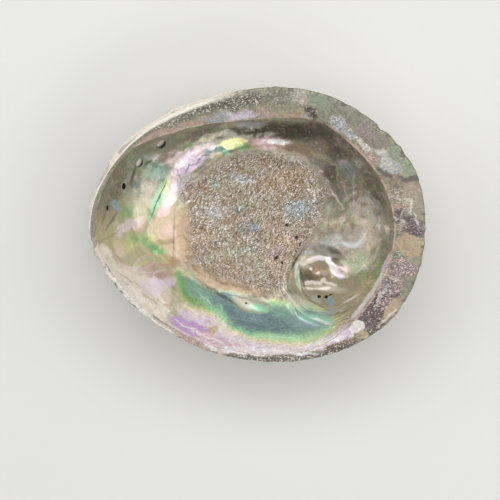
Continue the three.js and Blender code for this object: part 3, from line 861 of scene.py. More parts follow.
def scar_reach(plan):
    """Distance from the scar's middle, which is 1 on the scar's edge."""
    reach, turn = polar(plan)
    return reach / around(SCAR_RADIUS, turn)


def growth_share(plan):
    """Share of the way from the spire to the rim: growth lines run along equal shares."""
    rim = towards(OUTLINE_DEGREES, around(RIM_RADIUS, OUTLINE_DEGREES))
    rim_reach, rim_about = polar(rim - SPIRE)
    order = np.argsort(rim_about)
    reach, about = polar(plan - SPIRE)
    return reach / np.interp(about, rim_about[order], rim_reach[order], period=360)


def inner_relief(plan, sizes):
    """How far the inside stands proud of its plain arc, in millimetres."""
    scar = sizes.scar_lift / MM * (1 - smoothstep(scar_reach(plan), 1 - SCAR_EDGE, 1 + SCAR_EDGE))
    reach, about = polar(plan - SPIRE)
    pocket = sizes.pocket_depth / MM * mound(reach, POCKET_RADIUS)
    pit = sizes.pit_depth / MM * mound(np.hypot(*(plan - PIT).T), PIT_RADIUS)
    curl = sizes.curl_lift / MM * bell(reach - CURL_RADIUS, CURL_WIDTH)
    curl *= between(about, CURL_SPAN, CURL_FADE)
    relief = scar + curl - pocket - pit
    for radius, lift, width in CURL_RIDGES:
        relief += lift * between(about, CURL_RIDGE_SPAN, CURL_FADE) * bell(reach - radius, width)
    for lump in LUMPS:
        relief += lump.lift * mound(in_oval(plan, lump.at, lump.size, lump.turn), 1)
    return relief


def outer_relief(plan, sizes):
    """How far the outside stands proud of its plain arc, in millimetres."""
    reach, about = polar(plan - SPIRE)
    spire = sizes.spire_lift / MM * mound(reach, SPIRE_RADIUS)
    across = reach / around(ROW_REACH, about) - 1
    bumps = 1 - BUMP_SHARE + BUMP_SHARE * np.cos(np.radians(360 * (about - BUMP_START) / BUMP_STEP))
    row = sizes.row_lift / MM * bumps * bell(across, ROW_WIDTH) * between(about, ROW_SPAN, ROW_FADE)
    lean = SWELL_LEAN * np.log(1 + reach)
    swell = np.cos(SWELL_COUNT * (np.radians(about) - lean)) * smoothstep(reach, 0, SWELL_FADE)
    share = growth_share(plan)
    drift = RING_DRIFT * np.sin(RING_DRIFT_TURNS * share)
    rings = np.sin(2 * math.pi * GROWTH_RINGS * share + drift)
    return spire + row + sizes.swell_lift / MM * swell + sizes.ring_lift / MM * rings


def outer_points(degrees, climb, sizes):
    """Points on the outer wall: climb runs from 0 at the worn flat to 1 at the rim."""
    full = around(OUTER_TURN, degrees)
    turn = np.radians(full * climb)
    share = np.sin(turn) / np.sin(np.radians(np.minimum(full, 90)))
    foot = CROWN + towards(degrees, np.full_like(turn, REST_RADIUS))
    rim = towards(degrees, around(RIM_RADIUS, degrees))
    plan = foot + (rim - foot) * share[:, None]
    height = rim_height(degrees, sizes) * (1 - np.cos(turn)) / (1 - np.cos(np.radians(full)))
    fade = smoothstep(climb, 0, OUTER_FADE[0]) * (1 - smoothstep(climb, 1 - OUTER_FADE[1], 1))
    proud = outer_relief(plan, sizes) * fade
    plan = plan + towards(degrees, proud * np.sin(turn))
    return np.column_stack((plan, height - proud * np.cos(turn)))


def ledge_points(degrees, across, sizes):
    """Points on the ledge: across runs from 0 at the rim to 1 at the ledge's inner edge."""
    width = around(LEDGE_WIDTH, degrees)
    radius = around(RIM_RADIUS, degrees)
    rim = radius * np.sin(np.radians(np.maximum(around(OUTER_TURN, degrees), 90)))
    plan = towards(degrees, rim + (radius - width - rim) * across)
    drop = sizes.ledge_drop / MM * smoothstep(width, 0, BROAD_LEDGE) * across**LEDGE_ROUNDING
    return np.column_stack((plan, rim_height(degrees, sizes) - drop))


def inner_points(degrees, descent, sizes):
    """Points on the inner wall: descent runs from 0 at the ledge's edge to 1 in the bowl's middle."""
    full = np.radians(around(INNER_TURN, degrees))
    turn = full * (1 - descent)
    edge = ledge_points(degrees, np.ones_like(turn), sizes)
    plan = CROWN + (edge[:, :2] - CROWN) * (np.sin(turn) / np.sin(full))[:, None]
    floor = sizes.floor_height / MM
    height = floor + (edge[:, 2] - floor) * (1 - np.cos(turn)) / (1 - np.cos(full))
    proud = inner_relief(plan, sizes) * smoothstep(descent, 0, INNER_FADE)
    plan = plan - towards(degrees, proud * np.sin(turn))
    return np.column_stack((plan, height + proud * np.cos(turn)))


def flat_points(degrees, share):
    """Points on the worn flat: share runs from 0 at the crown to 1 at the flat's edge."""
    plan = CROWN + towards(degrees, REST_RADIUS * share)
    return np.column_stack((plan, np.zeros(len(plan))))


def section_points(degrees, stations, sizes):
    """Points of the whole skin, for the zone that each station lies in."""
    zones = (
        (stations <= FLAT_STATION, 0, FLAT_STATION, flat_points),
        (stations > FLAT_STATION, FLAT_STATION, RIM_STATION, lambda d, t: outer_points(d, t, sizes)),
        (stations > RIM_STATION, RIM_STATION, EDGE_STATION, lambda d, t: ledge_points(d, t, sizes)),
        (stations > EDGE_STATION, EDGE_STATION, 1, lambda d, t: inner_points(d, t, sizes)),
    )
    points = np.zeros((len(stations), 3))
    for later, start, end, shape in zones:
        chosen = later & (stations <= end)
        points[chosen] = shape(degrees[chosen], (stations[chosen] - start) / (end - start))
    return points


def nick_depth(degrees, stations):
    """How far the rim is chipped back, in millimetres."""
    depth = np.zeros(len(degrees))
    for angle, half_width, bite in NICKS:
        offset = np.mod(degrees - angle + 180, 360) - 180
        depth += bite * mound(np.abs(offset), half_width)
    return depth * bell(stations - RIM_STATION, NICK_REACH)


# Modelling


def deselect_all():
    bpy.ops.object.select_all(action="DESELECT")


def make_active(piece):
    deselect_all()
    piece.select_set(True)
    bpy.context.view_layer.objects.active = piece


def coordinates(mesh):
    co = np.empty(len(mesh.vertices) * 3, np.float32)
    mesh.vertices.foreach_get("co", co)
    return co.reshape(-1, 3).astype(float)


def place_vertices(mesh, points):
    mesh.vertices.foreach_set("co", points.astype(np.float32).ravel())
    mesh.update()


def store_map(mesh, name, first, second):
    """A UV map that holds two values of each vertex, for the finish to read."""
    layer = mesh.uv_layers.new(name=name)
    corners = np.empty(len(mesh.loops), np.int32)
    mesh.loops.foreach_get("vertex_index", corners)
    pairs = np.column_stack((first, second))[corners]
    layer.uv.foreach_set("vector", pairs.astype(np.float32).ravel())


def add_group(piece, name, weights):
    """A vertex group with these weights, in a few even steps."""
    group = piece.vertex_groups.new(name=name)
    levels = np.round(np.clip(weights, 0, 1) * WEIGHT_STEPS).astype(int)
    for level in range(1, WEIGHT_STEPS + 1):
        group.add(np.flatnonzero(levels == level).tolist(), level / WEIGHT_STEPS, "REPLACE")


def zone_of_faces(mesh, stations):
    """Numbers the faces by material: 0 in the bowl, 1 on the ledge, 2 outside."""
    for _ in range(FACE_ZONES):
        mesh.materials.append(None)
    loops = np.empty(len(mesh.loops), np.int32)
    mesh.loops.foreach_get("vertex_index", loops)
    starts = np.empty(len(mesh.polygons), np.int32)
    mesh.polygons.foreach_get("loop_start", starts)
    totals = np.empty(len(mesh.polygons), np.int32)
    mesh.polygons.foreach_get("loop_total", totals)
    middles = np.add.reduceat(stations[loops], starts) / totals
    numbers = (middles < EDGE_STATION).astype(np.int32) + (middles < RIM_STATION)
    mesh.polygons.foreach_set("material_index", numbers)


def frame_shift(sizes):
    """Shift from the tables' plan to the frame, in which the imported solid's box is centred."""
    degrees = OUTLINE_DEGREES
    rings = [outer_points(degrees, np.full(len(degrees), climb), sizes) for climb in WALL_CLIMBS]
    wall = np.concatenate(rings)
    middle = (wall.min(0) + wall.max(0)) / 2
    box_middle = (SHELL_LOW + SHELL_HIGH) / (2 * MM)
    return np.array((box_middle.x - middle[0], box_middle.y - middle[1], 0))


def mould_sphere(sizes):
    """A sphere pressed into the shape of the shell, with a map of where each point lies on it."""
    deselect_all()
    bpy.ops.mesh.primitive_uv_sphere_add(segments=SEGMENTS, ring_count=RINGS, radius=1)
    shell = bpy.context.object
    shell.name = shell.data.name = "abalone_shell"
    bpy.ops.object.mode_set(mode="EDIT")
    bpy.ops.mesh.subdivide(number_cuts=CUTS)
    bpy.ops.object.mode_set(mode="OBJECT")
    on_ball = coordinates(shell.data)
    stations = 1 - np.arctan2(np.hypot(on_ball[:, 0], on_ball[:, 1]), on_ball[:, 2]) / math.pi
    degrees = np.mod(np.degrees(np.arctan2(on_ball[:, 1], on_ball[:, 0])), 360)
    points = section_points(degrees, stations, sizes)
    plan = points[:, :2].copy()
    bite = nick_depth(degrees, stations)
    points[:, :2] -= towards(degrees, bite)
    points[:, 2] -= bite * NICK_DROP
    place_vertices(shell.data, (points + frame_shift(sizes)) * MM)
    while shell.data.uv_layers:
        shell.data.uv_layers.remove(shell.data.uv_layers[0])
    store_map(shell.data, "Zone", np.minimum(scar_reach(plan), FAR_FROM_SCAR), stations)
    store_map(shell.data, "Growth", growth_share(plan), np.zeros(len(plan)))
    inside = smoothstep(stations, EDGE_STATION, EDGE_STATION + ZONE_FADE)
    outside = 1 - smoothstep(stations, RIM_STATION - ZONE_FADE, RIM_STATION)
    resting = smoothstep(stations, FLAT_STATION, FLAT_STATION + ZONE_FADE)
    on_scar = inside * (1 - smoothstep(scar_reach(plan), 1 - SCAR_EDGE, 1))
    zone_of_faces(shell.data, stations)
    add_group(shell, "scar", on_scar)
    add_group(shell, "nacre", inside * (1 - on_scar))
    add_group(shell, "ledge", (1 - inside) * (1 - outside))
    add_group(shell, "rim", bell(stations - RIM_STATION, RIM_REACH))
    add_group(shell, "outside", outside * resting)
    return shell


def soften_edges(shell):
    """Rounds the rim and the ledge's inner edge."""
    make_active(shell)
    bpy.ops.object.mode_set(mode="EDIT")
    bpy.ops.mesh.select_all(action="DESELECT")
    bpy.ops.object.mode_set(mode="OBJECT")
    mesh = shell.data
    stations = np.zeros(len(mesh.vertices))
    zone = np.empty(len(mesh.loops) * 2, np.float32)
    mesh.uv_layers["Zone"].uv.foreach_get("vector", zone)
    corners = np.empty(len(mesh.loops), np.int32)
    mesh.loops.foreach_get("vertex_index", corners)
    stations[corners] = zone.reshape(-1, 2)[:, 1]
    near_edge = np.minimum(np.abs(stations - RIM_STATION), np.abs(stations - EDGE_STATION)) < SOFT_REACH
    mesh.vertices.foreach_set("select", near_edge)
    bpy.ops.object.mode_set(mode="EDIT")
    bpy.ops.mesh.vertices_smooth(factor=SMOOTHING_FACTOR, repeat=EDGE_SMOOTHING)
    bpy.ops.object.mode_set(mode="OBJECT")


def roughen(shell, relief):
    """Raises and lowers the faces of one vertex group by a texture, for good."""
    texture = bpy.data.textures.new(relief.name, "CLOUDS")
    texture.noise_scale = relief.grain * MM
    texture.noise_depth = relief.depth
    modifier = shell.modifiers.new(relief.name, "DISPLACE")
    modifier.texture = texture
    modifier.texture_coords = "LOCAL"
    modifier.vertex_group = relief.group
    modifier.strength = relief.lift * MM
    bpy.ops.object.modifier_apply(modifier=modifier.name)


def pore_cutter(pore, shift, sizes):
    """An oval rod through the wall, from inside the bowl to outside."""
    angle = np.array([float(pore.angle)])
    start = Vector(inner_points(angle, np.array([1 - pore.inner]), sizes)[0])
    end = Vector(outer_points(angle, np.array([float(pore.outer)]), sizes)[0])
    axis = end - start
    up = axis.normalized()
    side = Vector((*towards(angle + 90, np.ones(1))[0], 0))
    side = (side - up * side.dot(up)).normalized()
    turn = np.column_stack((side, up.cross(side), up))
    deselect_all()
    bpy.ops.mesh.primitive_cylinder_add(vertices=PORE_SIDES, radius=0.5, depth=1)
    cutter = bpy.context.object
    stretch = np.array((pore.length, pore.width, axis.length + 2 * PORE_OVERSHOOT))
    rod = coordinates(cutter.data)
    points = (rod * stretch) @ turn.T + (start + end) / 2
    place_vertices(cutter.data, (points + shift) * MM)
    while cutter.data.uv_layers:
        cutter.data.uv_layers.remove(cutter.data.uv_layers[0])
    ones = np.ones(len(points))
    store_map(cutter.data, "Zone", ones * FAR_FROM_SCAR, ones * PORE_STATION)
    from_inside = rod[:, 2] + 0.5
    store_map(cutter.data, "Growth", ones, 1 + from_inside)
    return cutter


def pierce_pores(shell, sizes):
    shift = frame_shift(sizes)
    cutters = [pore_cutter(pore, shift, sizes) for pore in PORES]
    make_active(cutters[0])
    for cutter in cutters:
        cutter.select_set(True)
    bpy.ops.object.join()
    make_active(shell)
    modifier = shell.modifiers.new("Pores", "BOOLEAN")
    modifier.operation = "DIFFERENCE"
    modifier.solver = "EXACT"
    modifier.object = cutters[0]
    bpy.ops.object.modifier_apply(modifier=modifier.name)
    bpy.data.objects.remove(cutters[0])


# Finish


def linear(srgb):
    """A colour value in linear light, from the sRGB value a user picks."""
    return tuple(c / 12.92 if c <= 0.04045 else ((c + 0.055) / 1.055) ** 2.4 for c in srgb) + (1.0,)


class Nodes:
    """Adds shader nodes to a tree. Values are numbers, colours or the outputs of other nodes."""

    MIX_SOCKETS = {"FLOAT": (2, 3, 0), "RGBA": (6, 7, 2)}

    def __init__(self, tree):
        self.tree = tree

    def add(self, kind, inputs, **settings):
        node = self.tree.nodes.new("ShaderNode" + kind)
        for name, value in settings.items():
            setattr(node, name, value)
        for socket, value in inputs.items():
            if isinstance(value, bpy.types.NodeSocket):
                self.tree.links.new(value, node.inputs[socket])
            else:
                node.inputs[socket].default_value = value
        return node

    def group(self, tree, inputs):
        return self.add("Group", inputs, node_tree=tree).outputs

    def maths(self, operation, *values):
        return self.add("Math", dict(enumerate(values)), operation=operation).outputs["Value"]

    def times(self, first, second):
        return self.maths("MULTIPLY", first, second)

    def times_plus(self, value, factor, extra):
        return self.maths("MULTIPLY_ADD", value, factor, extra)

    def vector(self, operation, *values):
        return self.add("VectorMath", dict(enumerate(values)), operation=operation).outputs["Vector"]

    def dot(self, first, second):
        return self.add("VectorMath", {0: first, 1: second}, operation="DOT_PRODUCT").outputs["Value"]

    def mix(self, share, first, second, kind="RGBA", blend="MIX"):
        a, b, out = self.MIX_SOCKETS[kind]
        node = self.add("Mix", {0: share, a: first, b: second}, data_type=kind)
        if kind == "RGBA":
            node.blend_type = blend
        return node.outputs[out]

    def noise(self, place, scale, detail=2.0, roughness=0.5, distortion=0.0):
        inputs = {"Vector": place, "Scale": scale, "Detail": detail, "Roughness": roughness}
        return self.add("TexNoise", inputs | {"Distortion": distortion}).outputs["Fac"]

    def bands(self, along, scale, detail=2.0):
        """Noise that changes along one value only."""
        inputs = {"W": along, "Scale": scale, "Detail": detail}
        return self.add("TexNoise", inputs, noise_dimensions="1D").outputs["Fac"]

    def step(self, value, low, high, start=0.0, end=1.0):
        """Goes smoothly from start to end, while the value goes from low to high."""
        # This kind of step never leaves its range, and clamping each one would overfill the shader
        inputs = {"Value": value, "From Min": low, "From Max": high, "To Min": start, "To Max": end}
        node = self.add("MapRange", inputs, interpolation_type="SMOOTHSTEP", clamp=False)
        return node.outputs["Result"]

    def stored(self, name):
        """The two values of each point that a UV map holds."""
        pair = self.add("SeparateXYZ", {0: self.add("UVMap", {}, uv_map=name).outputs["UV"]})
        return pair.outputs["X"], pair.outputs["Y"]


def new_group(name, inputs, outputs):
    """A node group with these sockets, as (name, kind) pairs, the nodes in it and its input sockets."""
    tree = bpy.data.node_groups.new(name, "ShaderNodeTree")
    for socket, kind in inputs:
        tree.interface.new_socket(socket, in_out="INPUT", socket_type="NodeSocket" + kind)
    for socket, kind in outputs:
        tree.interface.new_socket(socket, in_out="OUTPUT", socket_type="NodeSocket" + kind)
    return tree, Nodes(tree), tree.nodes.new("NodeGroupInput").outputs


def close_group(tree, results):
    end = tree.nodes.new("NodeGroupOutput")
    for name, value in results.items():
        tree.links.new(value, end.inputs[name])
    return tree


def patch_group():
    """Paints an oval patch over a colour. Along and Across measure an arm as 1 at the patch's edge."""
    inputs = (
        ("Under", "Color"), ("Tint", "Color"),
        ("Place", "Vector"), ("Middle", "Vector"), ("Along", "Vector"), ("Across", "Vector"),
        ("Outer", "Float"), ("Inner", "Float"), ("Strength", "Float"),
    )
    tree, nodes, given = new_group("Patch", inputs, (("Color", "Color"), ("Mask", "Float")))
    arm = nodes.vector("SUBTRACT", given["Place"], given["Middle"])
    along = nodes.dot(arm, given["Along"])
    across = nodes.dot(arm, given["Across"])
    reach = nodes.times_plus(across, across, nodes.times(along, along))
    mask = nodes.step(reach, given["Inner"], given["Outer"], given["Strength"], 0.0)
    return close_group(tree, {"Color": nodes.mix(mask, given["Under"], given["Tint"]), "Mask": mask})


def ragged_group():
    """Shifts a plan by noise and by facets, so that outlines drawn on it turn ragged."""
    inputs = [("Plan", "Vector")]
    for grade in RAGGED_GRADES:
        inputs += [(f"{grade} Scale", "Float"), (f"{grade} Shift", "Vector")]
    tree, nodes, given = new_group("Ragged", inputs, (("Plan", "Vector"),))
    plan = given["Plan"]
    for grade in RAGGED_GRADES:
        texture = {"Vector": given["Plan"], "Scale": given[f"{grade} Scale"]}
        if grade == "Facet":
            noise = nodes.add("TexVoronoi", texture, voronoi_dimensions="2D")
        else:
            noise = nodes.add("TexNoise", texture | {"Detail": 3.0}, noise_dimensions="2D")
        shift = nodes.vector("SUBTRACT", noise.outputs["Color"], (0.5, 0.5, 0.5))
        plan = nodes.vector("MULTIPLY_ADD", shift, given[f"{grade} Shift"], plan)
    return close_group(tree, {"Plan": plan})


def grain_group():
    """Granular speckle: crystals and short strokes that run one way."""
    inputs = (("Place", "Vector"), ("Scale", "Float"), ("Turn", "Vector"), ("Stretch", "Vector"))
    outputs = (("Bright", "Float"), ("Dark", "Float"), ("Height", "Float"))
    tree, nodes, given = new_group("Grain", inputs, outputs)
    mapping = {"Vector": given["Place"], "Rotation": given["Turn"], "Scale": given["Stretch"]}
    along = nodes.add("Mapping", mapping, vector_type="TEXTURE").outputs["Vector"]
    strokes = nodes.noise(along, given["Scale"], 1.0, 0.6)
    crystals = nodes.add("TexVoronoi", {"Vector": along, "Scale": given["Scale"]})
    facet = nodes.add("SeparateXYZ", {0: crystals.outputs["Color"]}).outputs["X"]
    facet = nodes.times_plus(facet, 0.5, 0.25)
    height = nodes.mix(CRYSTAL_SHARE, strokes, facet, "FLOAT")
    bright, dark = nodes.step(height, *BRIGHT_GRAIN), nodes.step(height, *DARK_GRAIN)
    return close_group(tree, {"Height": height, "Bright": bright, "Dark": dark})


def sheen_group(palette):
    """Colour of pearly sheen: the hues of nacre, in the order in which a thickening film shows them."""
    tree, nodes, given = new_group("Sheen", (("Phase", "Float"),), (("Color", "Color"),))
    ramp = nodes.add("ValToRGB", {"Fac": nodes.maths("FRACT", given["Phase"])})
    stops = ramp.color_ramp.elements
    stops[0].color = stops[1].color = palette[SHEEN_HUES[0]]
    for i, hue in enumerate(SHEEN_HUES[1:], 1):
        stops.new(i / len(SHEEN_HUES)).color = palette[hue]
    return close_group(tree, {"Color": ramp.outputs["Color"]})


def on_plan(pixel):
    """Place in millimetres of a pixel of the photo."""
    across, down = pixel
    return (across - PHOTO_ORIGIN[0]) * PIXEL, (PHOTO_ORIGIN[1] - down) * PIXEL


class Painter:
    """Builds one material of the shell from patches, noise and grain."""

    def __init__(self, name, groups, palette):
        self.material = bpy.data.materials.new(name)
        self.material.use_nodes = True
        self.material.node_tree.nodes.clear()
        self.nodes = Nodes(self.material.node_tree)
        self.groups = groups
        self.palette = palette
        place = self.nodes.add("TexCoord", {}).outputs["Object"]
        self.place = self.nodes.vector("MULTIPLY", place, (1 / MM, 1 / MM, 1 / MM))
        self.plan = self.nodes.vector("MULTIPLY", self.place, (1, 1, 0))
        self.scar_reach, self.station = self.nodes.stored("Zone")
        self.growth, self.pore = self.nodes.stored("Growth")

    def noise(self, size, detail=2.0, roughness=0.5, distortion=0.0):
        """Noise with features of about this size in millimetres."""
        return self.nodes.noise(self.place, 1 / size, detail, roughness, distortion)

    def ragged(self, coarse, fine, facet=(1, 0)):
        """The plan with outlines shifted by noise: each grade is (size, shift) in millimetres."""
        inputs = {"Plan": self.plan}
        for grade, (size, shift) in zip(RAGGED_GRADES, (coarse, fine, facet)):
            inputs |= {f"{grade} Scale": 1 / size, f"{grade} Shift": (shift, shift, 0)}
        return self.nodes.group(self.groups["ragged"], inputs)["Plan"]

    def grain(self, size, turn, stretch):
        """Speckle of this size in millimetres, drawn out along a turn in degrees."""
        inputs = {"Place": self.place, "Scale": 1 / size, "Turn": (0, 0, math.radians(turn))}
        return self.nodes.group(self.groups["grain"], inputs | {"Stretch": (stretch, 1, 1)})

    def patch(self, under, plan, patch, strength=1.0):
        """Colour after this patch, and how much of it shows."""
        c, s = math.cos(math.radians(patch.turn)), math.sin(math.radians(patch.turn))
        length, width = (half * PIXEL for half in patch.size)
        inputs = {
            "Under": under,
            "Tint": self.palette[patch.colour],
            "Place": plan,
            "Middle": (*on_plan(patch.at), 0),
            "Along": (c / length, s / length, 0),
            "Across": (-s / width, c / width, 0),
            "Outer": (1 + patch.soft) ** 2,
            "Inner": (1 - patch.soft) ** 2,
            "Strength": strength * patch.amount,
        }
        painted = self.nodes.group(self.groups["patch"], inputs)
        return painted["Color"], painted["Mask"]

    def paint(self, under, plan, patches, strength=1.0):
        """Colour after these patches, and how granular they leave it."""
        granular = 0.0
        for patch in patches:
            under, mask = self.patch(under, plan, patch, strength)
            if patch.grain or granular:
                granular = self.nodes.mix(mask, granular, float(patch.grain), "FLOAT")
        return under, granular

    def shade(self, under, value, tone, low=0.3, high=0.7):
        """Colour made darker to brighter by this share, as the value goes from low to high."""
        factor = self.nodes.step(value, low, high, 1 - tone, 1 + tone)
        return self.nodes.mix(1.0, under, factor, blend="MULTIPLY")

    def tint(self, under, mask, tint, amount=1.0):
        """Colour with another from the palette over it, where the mask shows it."""
        return self.nodes.mix(self.nodes.times(mask, amount), under, self.palette[tint])

    def blend(self, value, first, second):
        """Two colours of the palette in soft clouds, as the value sets them."""
        share = self.nodes.step(value, *CLOUD_SPAN)
        return self.nodes.mix(share, self.palette[first], self.palette[second])

    def sheen(self, under, size, turns, amount):
        """Colour with a play of pearly hues over it, that go this many times through them all."""
        phase = self.nodes.times(self.noise(size, detail=3.0, distortion=1.5), turns)
        hue = self.nodes.group(self.groups["sheen"], {"Phase": phase})["Color"]
        return self.nodes.mix(amount, under, hue, blend="SOFT_LIGHT")

    def curl_lines(self, under):
        """Colour with fine bright and dark lines that curl round the near side of the pocket."""
        nodes = self.nodes
        arm = nodes.vector("SUBTRACT", self.plan, (*SPIRE, 0))
        away = nodes.add("VectorMath", {0: arm}, operation="LENGTH").outputs["Value"]
        away = nodes.times_plus(self.noise(12, detail=3.0), 8.0, away)
        near_side = nodes.step(nodes.dot(arm, (*towards(CURL_FACING, 1.0), 0)), *CURL_NEAR_SIDE)
        shown = nodes.times(nodes.step(away, *CURL_LINES_START), nodes.step(away, *CURL_LINES_END))
        shown = nodes.times(shown, near_side)
        lines = nodes.bands(away, 0.9, detail=1.0)
        bright = nodes.times(shown, nodes.step(lines, 0.52, 0.7))
        dark = nodes.times(shown, nodes.step(lines, 0.44, 0.3))
        return self.tint(self.tint(under, bright, "cream", 0.5), dark, "umber", 0.6)

    def polish(self, base, granular, height, finish):
        """Ends the material with its surface: polished where it isn't granular."""
        nodes = self.nodes
        # Pore walls: painted shadow in the hole, and painted light at its far, open end
        base = self.tint(base, nodes.step(self.pore, *PORE_SHADOW), "ink")
        base = self.tint(base, nodes.step(self.pore, *PORE_LIT), "cream")
        bump = nodes.add("Bump", {"Height": height, "Strength": finish.bump, "Distance": MM})
        surface = {
            "Base Color": base,
            "Metallic": nodes.mix(granular, finish.nacre_metallic, finish.grain_metallic, "FLOAT"),
            "Roughness": nodes.mix(granular, finish.nacre_roughness, finish.grain_roughness, "FLOAT"),
            "Normal": bump.outputs["Normal"],
            "Coat Weight": nodes.mix(granular, finish.coat, GRAIN_COAT, "FLOAT"),
            "Coat Roughness": COAT_ROUGHNESS,
            "IOR": NACRE_IOR,
        }
        shader = nodes.add("BsdfPrincipled", surface)
        nodes.add("OutputMaterial", {"Surface": shader.outputs["BSDF"]})
        return self.material


def bowl_nacre(painter, soft_plan, fine_plan):
    """Pearly colours of the bowl, before the scar lies over them."""
    nodes = painter.nodes
    facet_plan = painter.ragged((24, 4), (4, 1.0), (9, 4.5))
    swirl = painter.noise(14, detail=3.0, roughness=0.55, distortion=1.2)
    base = painter.blend(swirl, "olive", "sand")
    for patches in (BOWL_BROAD, BOWL_RIGHT):
        base, _ = painter.paint(base, soft_plan, patches)
    base = painter.sheen(base, size=12, turns=5.0, amount=0.25)
    veil = painter.noise(7, detail=3.0, roughness=0.6, distortion=2.5)
    base = painter.tint(base, nodes.step(veil, 0.54, 0.75), "pearl", 0.3)
    base = painter.tint(base, nodes.step(veil, 0.46, 0.28), "smoke", 0.3)
    for plan, patches in (
        (facet_plan, BOWL_LEFT),
        (soft_plan, BOWL_WALL),
        (soft_plan, BOWL_LOWER),
        (fine_plan, BOWL_STREAK),
    ):
        base, _ = painter.paint(base, plan, patches)
    growth_lines = nodes.bands(nodes.times_plus(swirl, 0.05, painter.station), 120)
    base = painter.shade(base, growth_lines, tone=0.06)
    fine_mottle = painter.noise(1.1, roughness=0.6)
    broad_layers = painter.noise(8, detail=4.0, roughness=0.6, distortion=2.0)
    thin_layers = painter.noise(4, detail=3.0, roughness=0.6, distortion=2.5)
    crisp = painter.shade(base, fine_mottle, tone=0.12)
    crisp = painter.shade(crisp, broad_layers, tone=0.07, low=0.48, high=0.54)
    crisp = painter.shade(crisp, thin_layers, tone=0.06, low=0.52, high=0.46)
    _, lobe = painter.patch(base, soft_plan, SMOOTH_LOBE)
    return nodes.mix(lobe, crisp, base)


def scar_colour(painter, grain):
    """Colour of the rough scar: stained brown, with dark crystals and pale ones painted white as glints.
    """
    nodes = painter.nodes
    scar = painter.blend(painter.noise(9, detail=3.0), "taupe", "sand")
    scar, _ = painter.paint(scar, painter.ragged((8, 5), (2.5, 3)), SCAR, strength=0.85)
    stains = nodes.step(painter.noise(6, detail=3.0, roughness=0.6), 0.42, 0.6)
    glitter = nodes.step(painter.noise(5, detail=3.0, roughness=0.6), 0.35, 0.6, 0.5, 1.0)
    scar = painter.tint(scar, stains, "ochre", 0.6)
    scar = painter.tint(scar, grain["Dark"], "ink", 0.75)
    # Bright grain painted white in clouds: painted glints of the crystals
    return painter.tint(scar, nodes.times(grain["Bright"], glitter), "glint")


def bowl_material(painter, finish):
    """Inside of the shell: sweeps of pearly colour round the rough muscle scar."""
    nodes = painter.nodes
    soft_plan = painter.ragged((20, 6), (4, 2.4))
    fine_plan = painter.ragged((6, 2), (2, 1))
    base = bowl_nacre(painter, soft_plan, fine_plan)
    base, margin = painter.paint(base, soft_plan, MARGIN)
    grain = painter.grain(size=0.38, turn=55, stretch=3.0)
    frayed = nodes.times_plus(painter.noise(4, detail=4.0, roughness=0.65), 0.3, painter.scar_reach)
    on_scar = nodes.step(nodes.times_plus(margin, 0.12, frayed), *SCAR_FRAY, 1.0, 0.0)
    base = nodes.mix(on_scar, base, scar_colour(painter, grain))
    base = painter.curl_lines(base)
    for patches in (POCKET, MARKS):
        base, _ = painter.paint(base, fine_plan, patches)
    # The relief keeps to the scar's own edge, so that it doesn't depend on any patch of colour
    rough = nodes.step(frayed, *SCAR_FRAY, 1.0, 0.0)
    height = nodes.times_plus(painter.noise(5), 0.2, nodes.times(grain["Height"], rough))
    return painter.polish(base, on_scar, height, finish)


def ledge_edges(painter, base, turn, mottle):
    """Colour of the ledge with its chipped rim, its inner edge's line, and its pale side: polish with a
    painted highlight.
    """
    nodes = painter.nodes
    chips = nodes.step(nodes.bands(turn, 26, detail=3.0), 0.55, 0.62)
    at_rim = nodes.step(painter.station, *CHIP_SPAN)
    base = painter.tint(base, nodes.times(chips, at_rim), "umber", 0.7)
    edge_line = nodes.step(painter.station, *EDGE_LINE_SPAN)
    base = painter.tint(base, nodes.times(edge_line, mottle), "blush", 0.8)
    # Pale side of the rim: polish, with a painted highlight along its outer edge
    polish_highlight_side = nodes.step(nodes.dot(painter.plan, (*towards(POLISH_HIGHLIGHT_FACING, 1.0), 0)), *POLISH_HIGHLIGHT_SIDE)
    polish_highlight_rim = nodes.step(painter.station, *POLISH_HIGHLIGHT_SPAN)
    return painter.tint(base, nodes.times(polish_highlight_rim, polish_highlight_side), "cream", 0.7)


def ledge_material(painter, finish):
    """Ledge round the bowl: ragged blocks of colour, many of them granular."""
    nodes = painter.nodes
    plan = painter.ragged((8, 2), (2, 1.4), (5, 1.6))
    clouds = painter.noise(6, detail=3.0)
    base = painter.sheen(painter.blend(clouds, "olive", "sand"), size=9, turns=4.0, amount=0.25)
    base, granular = painter.paint(base, plan, LEDGE)
    shade = finish.ledge_shade
    base = nodes.mix(1.0, base, (shade, shade, shade, 1), blend="MULTIPLY")
    axes = nodes.add("SeparateXYZ", {0: painter.plan}).outputs
    turn = nodes.maths("ARCTAN2", axes["Y"], axes["X"])
    wavy_turn = nodes.times_plus(painter.noise(8), 0.05, turn)
    base = painter.shade(base, nodes.bands(wavy_turn, 60), tone=0.1)
    base = painter.shade(base, painter.noise(1.1, detail=1.0, roughness=0.6), tone=0.08)
    grain = painter.grain(size=0.66, turn=20, stretch=1.5)
    flecks = nodes.times_plus(granular, 0.8, 0.15)
    base = painter.tint(base, nodes.times(grain["Dark"], flecks), "ink", 0.6)
    base = painter.tint(base, nodes.times(grain["Bright"], flecks), "pearl", 0.7)
    base = ledge_edges(painter, base, turn, nodes.step(clouds, *CLOUD_SPAN))
    return painter.polish(base, granular, nodes.times(grain["Height"], 0.5), finish)


